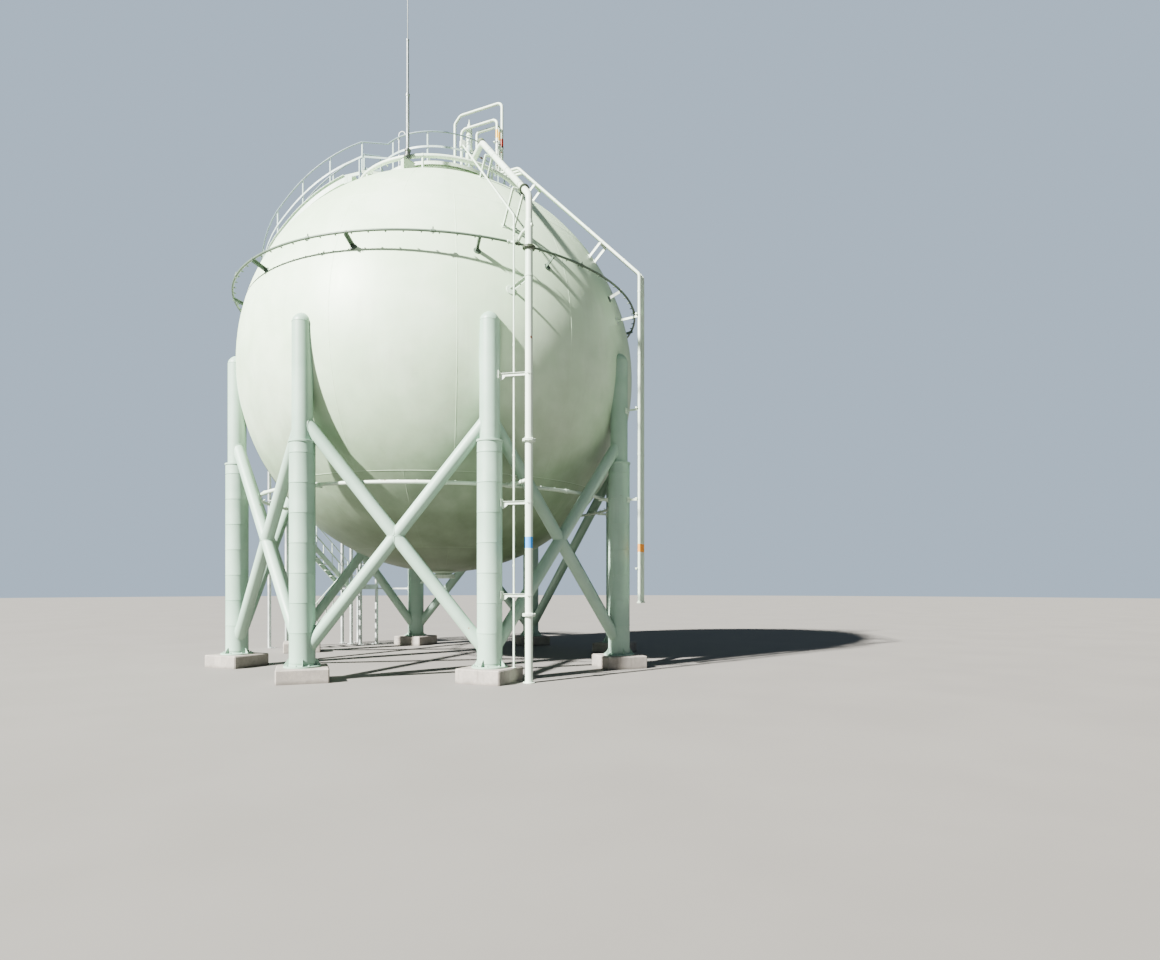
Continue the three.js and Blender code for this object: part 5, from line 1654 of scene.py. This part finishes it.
@dataclass(frozen=True)
class Manhole(SubAssembly):
    """Bolted manhole on the crown, with the davit that swings its cover aside."""

    angle: float = -113.0
    ring: float = 0.45
    neck: float = 0.3
    top: float = 15.56
    cover: float = 0.4
    thick: float = 0.09

    def forms(self) -> Forms:
        """The neck with its bolted cover, and the davit."""
        spot, z, n, c = polar(self.angle, self.ring, 0), self.top, self.neck, self.cover
        shell, post = shell_top(self.ring), spot + round_at(self.angle) * (c + 0.05)
        foot = shell_top(self.ring + n) - 0.02
        profile = [(0, foot), (n + 0.1, foot), (n + 0.1, shell + 0.02), (n + 0.02, shell + 0.05),
            (n, shell + 0.08), (n, z - 0.06), (n + 0.03, z)]
        profile += [(c + out, z + up) for out, up in ((-0.006, 0.002), (0, 0.008), (0, 0.04),
            (-0.004, 0.043), (-0.012, 0.043), (-0.012, 0.047), (-0.004, 0.047), (0, 0.051), (0, 0.082),
            (-0.006, self.thick))]
        profile += [(0.26, z + self.thick), (0.2, z + 0.115), (0, z + 0.12)]
        yield revolve(profile, 48, origin=spot)
        yield bolt_circle(spot + UP * (z + self.thick), UP, 0.355, 20, 0.02)
        yield bolt_circle(spot + UP * (z + 0.002), -UP, 0.368, 20, 0.016)
        crook = z + 0.42
        yield pipe([post + UP * (z - 0.1), post + UP * crook, spot + UP * crook], 0.026, 0.14,
            outward_at(self.angle), 16)
        yield tube(spot + UP * (z + 0.1), spot + UP * (z + 0.44), 0.016, 12)
        yield flat_bar(post + UP * (z - 0.05), spot + UP * (z - 0.05), 0.1, 0.03)

    def pieces(self) -> Iterator[Piece]:
        """The manhole."""
        yield Piece("manhole_cover", self.forms(), PIPE_COAT, stands_for=("manhole",))


@dataclass(frozen=True)
class BottomFittings(SubAssembly):
    """The nozzle under the shell with its blind flange, and the drain pipe beside it."""

    drain_angle: float = -28.0
    drain_ring: float = 1.0
    drain: float = 0.045
    foot: float = 2.48

    def nozzle(self) -> Forms:
        """Cone pad, short neck and a thick bolted blind flange."""
        sole, rim = (SHELL_CENTRE - math.sqrt(SHELL_RADIUS**2 - ring**2) for ring in (0, 0.4))
        yield revolve([(0, sole + 0.03), (0.4, rim + 0.006), (0.405, rim - 0.004), (0.395, rim - 0.014),
            (0.3, 2.82), (0.256, 2.79), (0.245, 2.77), (0.3, 2.764), (0.354, 2.76), (0.36, 2.754),
            (0.36, 2.712), (0.355, 2.708), (0.345, 2.706), (0.345, 2.702), (0.355, 2.7), (0.36, 2.694),
            (0.36, 2.656), (0.346, 2.642), (0.2, 2.64), (0, 2.64)], 56)
        yield bolt_circle(UP * 2.758, UP, 0.31, 20, 0.022)
        yield bolt_circle(UP * 2.665, -UP, 0.31, 20, 0.018)

    def drain_stub(self) -> Forms:
        """Pipe with a pad on the shell and a blind flange."""
        spot = polar(self.drain_angle, self.drain_ring, 0)
        top = SHELL_CENTRE - math.sqrt(SHELL_RADIUS**2 - self.drain_ring**2)
        out = unit(spot - UP * (SHELL_CENTRE - top))
        yield tube(spot + UP * self.foot, spot + UP * (top + 0.03), self.drain, 24)
        yield disc(spot + UP * top - out * 0.01, out, 0.11, 0.024, 24)
        for height in (self.foot, 2.505):
            yield disc(spot + UP * height, UP, 0.09, 0.022, 24)
        yield bolt_circle(spot + UP * 2.527, UP, 0.072, 6, 0.01)

    def pieces(self) -> Iterator[Piece]:
        """The nozzle and the drain."""
        yield Piece("bottom_blind_nozzle", self.nozzle(), PIPE_COAT, stands_for=("bottom_nozzle",))
        yield Piece("drain_stub", self.drain_stub(), PIPE_COAT, stands_for=("drain_pipe",))


@dataclass(frozen=True)
class LightningRod(SubAssembly):
    """Staged pole on a dark fitting and a bracket box that stands on the shell."""

    angle: float = -9.0
    ring: float = 2.88
    base: float = 14.96
    top: float = 19.9
    box: Pair = (0.14, 0.4)
    box_turn: float = 54.0

    def pole(self, spot: Array) -> Forms:
        """The pole in three stages, with a collar at each step."""
        b = self.base
        yield revolve([(0, b - 0.2), (0.048, b - 0.2), (0.048, b + 1.7), (0.045, b + 1.73),
            (0.0336, b + 1.76), (0.0336, b + 3.3), (0.03, b + 3.33), (0.013, b + 3.36),
            (0.013, self.top - 0.25), (0.008, self.top - 0.22), (0, self.top)], 20, origin=spot)
        yield collar(spot + UP * (b + 1.72), UP, 0.05, 0.07, 0.01)
        yield collar(spot + UP * (b + 3.32), UP, 0.032, 0.06)

    def fitting(self, spot: Array) -> Forms:
        """The dark socket under the pole."""
        outline = [(0, -0.09), (0.115, -0.09), (0.115, -0.06), (0.075, -0.04), (0.07, 0.06), (0.09, 0.08),
            (0.09, 0.13), (0.055, 0.15), (0, 0.15)]
        yield revolve([(r, self.base + h) for r, h in outline], 24, origin=spot)
        yield bolt_circle(spot + UP * (self.base - 0.058), UP, 0.098, 6, 0.009)

    def bracket(self, spot: Array) -> Forms:
        """Four walls of plate from the shell to the lid."""
        (deep, wide), thick, lid = self.box, 0.012, self.base - 0.2
        tall = lid - shell_top(self.ring + wide / 2) + 0.02
        middle, axes = spot + UP * (lid - tall / 2), radial_axes(self.box_turn)
        for size, way, reach in (((thick, wide, tall), axes[:, 0], deep), ((deep, thick, tall), axes[:, 1],
                wide)):
            for s in BOTH:
                yield block(size, middle + way * s * (reach - thick) / 2, axes, 0.003)
        yield block((deep + 0.04, wide + 0.04, 0.014), spot + UP * lid, axes)

    def pieces(self) -> Iterator[Piece]:
        """Pole, its dark fitting, and the box."""
        spot = polar(self.angle, self.ring, 0)
        yield Piece("rod_pole", self.pole(spot), OLD_ZINC, Slot.ZINC, ("lightning_rod",))
        yield Piece("rod_fitting", self.fitting(spot), DARK)
        yield Piece("rod_bracket", self.bracket(spot), DECK_COAT)


# Stairs

TREAD = (0.22, 0.035)
RAIL_HEIGHT, RAIL_MID = 0.95, 0.48


def channel(points: Array, outer: Array, lip: float = 0.05, turn: float = 1.0) -> list[Form]:
    """A stringer: a plate on edge that follows points, with a lip along its top and its bottom.

    Args:
        points: Stations of its line.
        outer: Level sideways direction, one for all stations or one for each.
        lip: Width of the lips.
        turn: 1 where the lips point along the outer direction, -1 against it.

    Returns:
        The stringer's plate and lips.
    """
    over, height, half = 0.118, 0.27, 0.006
    web = np.array([[-half, over], [half, over], [half, over - height], [-half, over - height]])
    top = np.array([[half, over], [lip, over], [lip, over - 0.01], [half, over - 0.01]]) * [turn, 1]
    return [loft(points, outer, UP, section) for section in (web, top, top - [0, height - 0.01])]


def tread(spots: Array, axes: Array, width: float) -> Form:
    """Folded treads: a chequer plate with a nosing and a back lip, at spots on their tops."""
    depth, thick = TREAD
    return joined([block(size, centre, chamfer=0.002) for size, centre in (
        ((depth, width, 0.008), (0, 0, -0.004)), ((0.008, width, thick), (depth / 2 - 0.004, 0, -thick / 2)),
        ((0.008, width, thick), (0.004 - depth / 2, 0, -thick / 2)),
        ((0.03, width - 0.04, 0.006), (depth / 2 - 0.02, 0, 0.0015)))]).placed(axes, spots)


def handrail(path: Array, posts: Array) -> Forms:
    """A top rail and a thinner knee rail along a straight line, on upright posts at spots of that line."""
    for height, radius in ((RAIL_HEIGHT, 0.02), (RAIL_MID, 0.8 * 0.02)):
        yield sweep(path + UP * height, circle(radius, 12), unit(np.cross(UP, path[-1] - path[0])))
    post = revolve([(0, 0), (0.85 * 0.02, 0), (0.85 * 0.02, RAIL_HEIGHT), (0, RAIL_HEIGHT)], 12)
    for shape in (post, block((0.07, 0.07, 0.008), (0, 0, 0.005))):
        yield shape.placed(LEVEL, posts)


@dataclass(frozen=True)
class UpperStair(SubAssembly):
    """The curved flight from the platform down over the shell to the tower's top landing."""

    inset: float = 0.04
    bracket_every: int = 5

    def flight(self) -> Forms:
        """Two channel stringers, the treads between them and the brackets on the shell."""
        under = DECK_TOP - 0.0403
        for s in BOTH:
            line = STATION_SPOTS + STATION_OUTER * s * STAIR_WIDTH / 2
            yield from channel(line[2:], STATION_OUTER[2:], turn=s)
            run = (line[2] - line[0]) * GROUND_PLAN
            reach, way = float(np.linalg.norm(run)), unit(run)
            low, high = line[2][2] + 0.118 - under, line[2][2] - 0.152 - under
            nose = [(0, 0), (reach, low), (reach, high), (0.24, high + 0.09), (0.24, -0.13), (0, -0.1)]
            yield prism(nose, 0.012, line[0] * GROUND_PLAN + UP * under,
                columns(way, UP, np.cross(way, UP)))
        walk = STATION_WALK[1:]
        axes = columns(walk, np.cross(UP, walk), np.broadcast_to(UP, walk.shape))
        yield tread(STATION_SPOTS[1:], axes, STAIR_WIDTH)
        for i in range(2, len(STATIONS), self.bracket_every):
            spot, across = STATION_SPOTS[i], STATION_OUTER[i]
            start = spot - across * 0.21 - UP * 0.04
            out = unit(start - UP * SHELL_CENTRE)
            end = UP * SHELL_CENTRE + out * SHELL_RADIUS
            yield flat_bar(start, end - out * 0.01, 0.06, 0.06, STATION_WALK[i])
            yield disc(end - out * 0.01, out, 0.1, 0.024, 24)
            yield angle_bar(start - across * 0.12, spot + across * 0.33 - UP * 0.045, 0.055, 0.007)

    def rail(self, side: float, first: int) -> tuple[list[Form], Form]:
        """Flat knee rail on angle posts, one on every fourth tread and on the last, and the top rail."""
        line = (STATION_SPOTS + STATION_OUTER * side * (STAIR_WIDTH / 2 - self.inset))[1:]
        deck, last = Platform(), len(STATIONS) - 1
        corner = min(deck.corners(), key=lambda spot: float(np.linalg.norm(spot - line[0])))
        knee, top = (np.concatenate([[corner + UP * low], line + UP * high]) for low,
            high in ((deck.mid, RAIL_MID), (deck.rail, RAIL_HEIGHT)))
        frame = [loft(knee, STATION_OUTER, UP, FLAT_RAIL)]
        for i in [*(i for i in range(1, last - 1) if i % 4 == first), last]:
            spot = line[i - 1] - STATION_OUTER[i] * side * 0.012
            frame += [rail_post(spot, RAIL_HEIGHT), block((0.06, 0.08, 0.008), spot + UP * 0.005,
                radial_axes(STATIONS[i, 0]))]
        return frame, sweep(top, circle(0.02, 12), UP)

    def pieces(self) -> Iterator[Piece]:
        """The flight and its two handrails."""
        yield Piece("curved_flight", self.flight(), STAIR_COAT, stands_for=("upper_stair",))
        for side, first, name in ((1, 0, "outer"), (-1, 1, "inner")):
            frame, rail = self.rail(side, first)
            yield Piece(f"curved_{name}_posts", frame, RAIL_COAT, Slot.ZINC,
                (f"upper_stair_{name}_rail",))
            yield Piece(f"curved_{name}_handrail", rail, HANDRAIL_COAT, Slot.ZINC)


@dataclass(frozen=True)
class StairTower(SubAssembly):
    """Stair tower behind the tank: two stacks of landings on posts and four flights between them."""

    angle: float = -130.0
    inner: float = 6.85
    lane: float = 0.74
    run: float = 2.25
    landing: float = 0.85
    levels: Row = (9.44, 7.08, 4.72, 2.36)
    plate: float = 0.04
    post: float = 0.1
    steps: int = 10
    top_inner: float = 6.23

    def at(self, along: float, out: float, height: float) -> Array:
        """A point of the tower: along it, out from the shell and up."""
        return polar(self.angle, out, height) + round_at(self.angle) * along

    def box(self, a: Spot, b: Spot, chamfer: float = 0.004) -> Form:
        """A block between two corners in the tower's own directions."""
        a, b = np.asarray(a, float), np.asarray(b, float)
        return block(np.abs(b - a)[[1, 0, 2]], self.at(*((a + b) / 2)), radial_axes(self.angle), chamfer)

    def edges(self, sign: int) -> Triple:
        """Outer side, near end and far end of a stack's landings."""
        middle = self.run / 2
        return self.inner + 2 * self.lane, sign * middle, sign * (middle + self.landing)

    def storey(self, sign: int, z: float) -> Forms:
        """One landing on its ribs, with rails and kick plates at its free sides."""
        outer, near, far = self.edges(sign)
        first, sink = z == self.levels[0], 0.015
        back = self.top_inner if first else self.inner
        yield self.box((near, back, z - 0.01), (far, outer, z))
        for a, b in (((near, outer - 0.012), (far, outer)), ((near, back), (far, back + 0.012)),
                ((near, back), (near + sign * 0.012, outer)), ((far - sign * 0.012, back), (far, outer))):
            yield self.box((*a, z - 0.1), (*b, z - 0.008))
        for rib in (back + share * (outer - back) for share in (0.25, 0.5, 0.75)):
            yield self.box((near, rib - 0.005, z - 0.07), (far, rib + 0.005, z - 0.008), 0.002)
        sides = [((far, self.inner), (far, outer)), ((near, outer), (far, outer)),
            ((near, self.inner), (far, self.inner))]
        for side in sides[:2 if first else 3]:
            ends = [(sign * min(abs(a), abs(far) - sink), min(max(o, self.inner + sink), outer - sink))
                for a, o in side]
            for height in (RAIL_MID, RAIL_HEIGHT):
                yield tube(*(self.at(*end, z + height) for end in ends), 0.02, 12)
            yield flat_bar(*(self.at(*end, z + 0.05) for end in side), 0.006, 0.1, chamfer=0.001)

    def stack(self, sign: int) -> Forms:
        """Two landings, the posts with base plates that carry them, and what ties them to the tank."""
        outer, near, far = self.edges(sign)
        carried, half = self.levels[0 if sign > 0 else 1::2], self.post / 2
        for z in carried:
            yield from self.storey(sign, z)
        top, reach = carried[0] + RAIL_HEIGHT, sign * half
        for along, out in ((near + reach, self.inner + half), (near + reach, self.inner + self.lane),
                (near + reach, outer - half), (far - reach, self.inner + half), (far - reach, outer - half)):
            a, o = sign * min(abs(along), abs(far) - 0.111), min(out, outer - 0.111)
            yield self.box((along - half, out - half, 0), (along + half, out + half, top), 0.008)
            yield self.box((a - 0.11, o - 0.11, 0), (a + 0.11, o + 0.11, 0.018))
            yield bolts([self.at(a + i * 0.085, o + j * 0.085, 0.018) for i in BOTH for j in BOTH], UP, 0.014)
        if sign > 0:
            under = self.levels[0] - self.plate
            for along in (self.run / 2 + 0.1, self.run / 2 + self.landing - 0.1):
                ring = math.sqrt(shell_ring(under - 0.03) ** 2 - along**2)
                tip = self.at(along, ring, under - 0.03)
                out = unit(tip - UP * SHELL_CENTRE)
                yield self.box((along - 0.03, ring - 0.01, under - 0.06), (along + 0.03, 6.5, under + 0.001))
                yield disc(tip - out * 0.01, out, 0.11, 0.024, 24)
            return
        for z in carried:
            start = self.at(half - self.run / 2 - self.landing, self.inner + half, z - 0.07)
            root, way = column_end(start, 4, (0.258, 0.319))
            yield flat_bar(start, root, 0.06, 0.06)
            yield block((0.18, 0.012, 0.18), root, columns(np.cross(UP, way), way, UP))

    def flight(self, k: int) -> Form:
        """One flight: channel stringers, folded treads, and handrails on posts."""
        sign = -1 if k % 2 else 1
        reach, out = sign * (self.run / 2 - 0.0003), self.inner + self.lane * (0.5 if k % 2 else 1.5)
        start = self.at(reach, out, self.levels[k] - self.plate)
        end = self.at(-reach, out, (*self.levels, 0.0)[k + 1])
        half, away, forms = self.lane / 2 - 0.03, outward_at(self.angle), []
        for s in BOTH:
            line = np.stack([start, end]) + away * s * half
            spots, ends = (line[0] + (line[1] - line[0]) * np.array(shares)[:, None] for shares in (
                (0.04, 0.35, 0.65, 0.96), (0.02, 0.98)))
            forms += [*channel(line, away, 0.035, -s), *handrail(ends, spots)]
        share = np.arange(1, self.steps)[:, None] / self.steps
        axes = columns(-sign * round_at(self.angle), sign * away, UP)
        whole = joined(forms, tread(start + (end - start) * share, axes, 2 * half - 0.01))
        whole.points[:, 2] = np.maximum(whole.points[:, 2], 0)
        return whole

    def pieces(self) -> Iterator[Piece]:
        """Both stacks and the four flights."""
        low = "stair_tower_lower_stack"
        for sign, name, nodes in ((1, "upper", ("stair_tower_upper_stack",)),
                (-1, "lower", (low, f"{low}_foot"))):
            yield Piece(f"tower_{name}_posts", self.stack(sign), ZINC, Slot.ZINC, nodes)
        for k in range(len(self.levels)):
            yield Piece(f"tower_flight_{k + 1}_steps", self.flight(k), STAIR_COAT,
                stands_for=(f"stair_tower_flight_{k + 1}",))


# Studio


@dataclass(frozen=True)
class Studio:
    """Pale floor, soft light and the camera at the photograph's place."""

    floor_radius: float = 160.0
    floor_colour: int = 0x6E6C68
    sky_colour: int = 0xC6DCF2
    sky_strength: float = 0.26
    sky_seen: float = 0.9
    sun_angle: float = -48.0
    sun_height: float = 36.0
    sun_strength: float = 34.0
    sun_size: float = 2.0
    eye: Triple = (5.014, -23.628, 2.4)
    turn: float = 1.24
    lens: float = 22.28
    shift: float = 0.0912

    def floor(self) -> None:
        """A wide pale disc at ground level with a faint trowelled finish."""
        mesh = bpy.data.meshes.new("studio_floor")
        ring = disc_ring(UP, self.floor_radius, 96) + AXIS - UP * 0.002
        mesh.from_pydata(ring.tolist(), [], [list(range(len(ring)))])
        floor = scene_object("studio_floor", mesh)
        material = bpy.data.materials.new("studio_floor")
        material.use_nodes = True
        tree, light = material.node_tree, linear(self.floor_colour)
        shader = tree.nodes["Principled BSDF"]
        place = Value(add(tree, "ShaderNodeTexCoord").outputs["Object"])
        colour = place.noise(0.35).between(0.3, 0.7).mix(light,
            tuple(0.93 * c for c in light[:3]) + (1.0,))
        tree.links.new(colour.socket, shader.inputs["Base Color"])
        shader.inputs["Roughness"].default_value = 0.8
        mesh.materials.append(material)
        floor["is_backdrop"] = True

    def light(self) -> None:
        """A large soft sun from the front left and a pale even sky."""
        sun = bpy.data.lights.new("key_sun", "SUN")
        sun.energy, sun.angle = self.sun_strength, math.radians(self.sun_size)
        sun.color = (1.0, 0.97, 0.92)
        lamp = scene_object("key_sun", sun)
        lamp.rotation_euler = (math.radians(90 - self.sun_height), 0, math.radians(self.sun_angle))
        world = bpy.data.worlds.new("pale_sky")
        world.use_nodes = True
        tree = world.node_tree
        background = tree.nodes["Background"]
        background.inputs["Color"].default_value = linear(self.sky_colour)
        seen = Value(add(tree, "ShaderNodeLightPath").outputs["Is Camera Ray"])
        strength = seen.node("ShaderNodeMapRange", {"Value": seen, "To Min": self.sky_strength,
            "To Max": self.sky_seen})
        tree.links.new(strength.socket, background.inputs["Strength"])
        bpy.context.scene.world = world

    def camera(self) -> None:
        """Level camera with a raised frame."""
        lens = bpy.data.cameras.new("photo_camera")
        lens.lens, lens.sensor_width, lens.shift_y = self.lens, 36.0, self.shift
        lens.clip_end = 1000.0
        camera = scene_object("photo_camera", lens)
        camera.location = (AXIS + np.array(self.eye)).tolist()
        camera.rotation_euler = (math.radians(90), 0, math.radians(self.turn))
        bpy.context.scene.camera = camera

    def build(self) -> None:
        """Set up camera, floor and light."""
        self.camera()
        self.floor()
        self.light()


def main() -> None:
    """Build the studio and every sub-assembly."""
    logging.basicConfig(level=logging.INFO, format="%(name)s: %(message)s")
    Studio().build()
    groups = (Shell(), Columns(), Braces(), SprayRings(), WaterRiser(), Conduit(), ReliefPipes(),
        ReliefValve(), Platform(), Manhole(), BottomFittings(), LightningRod(), UpperStair(),
        StairTower())
    for group in groups:
        for piece in group.pieces():
            piece.make()
    boxes = {"cad": CAD_BOX, "visual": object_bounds()}
    json.dumps({k: [list(map(float, corner)) for corner in v] for k,
        v in boxes.items()})


if __name__ == "__main__":
    main()
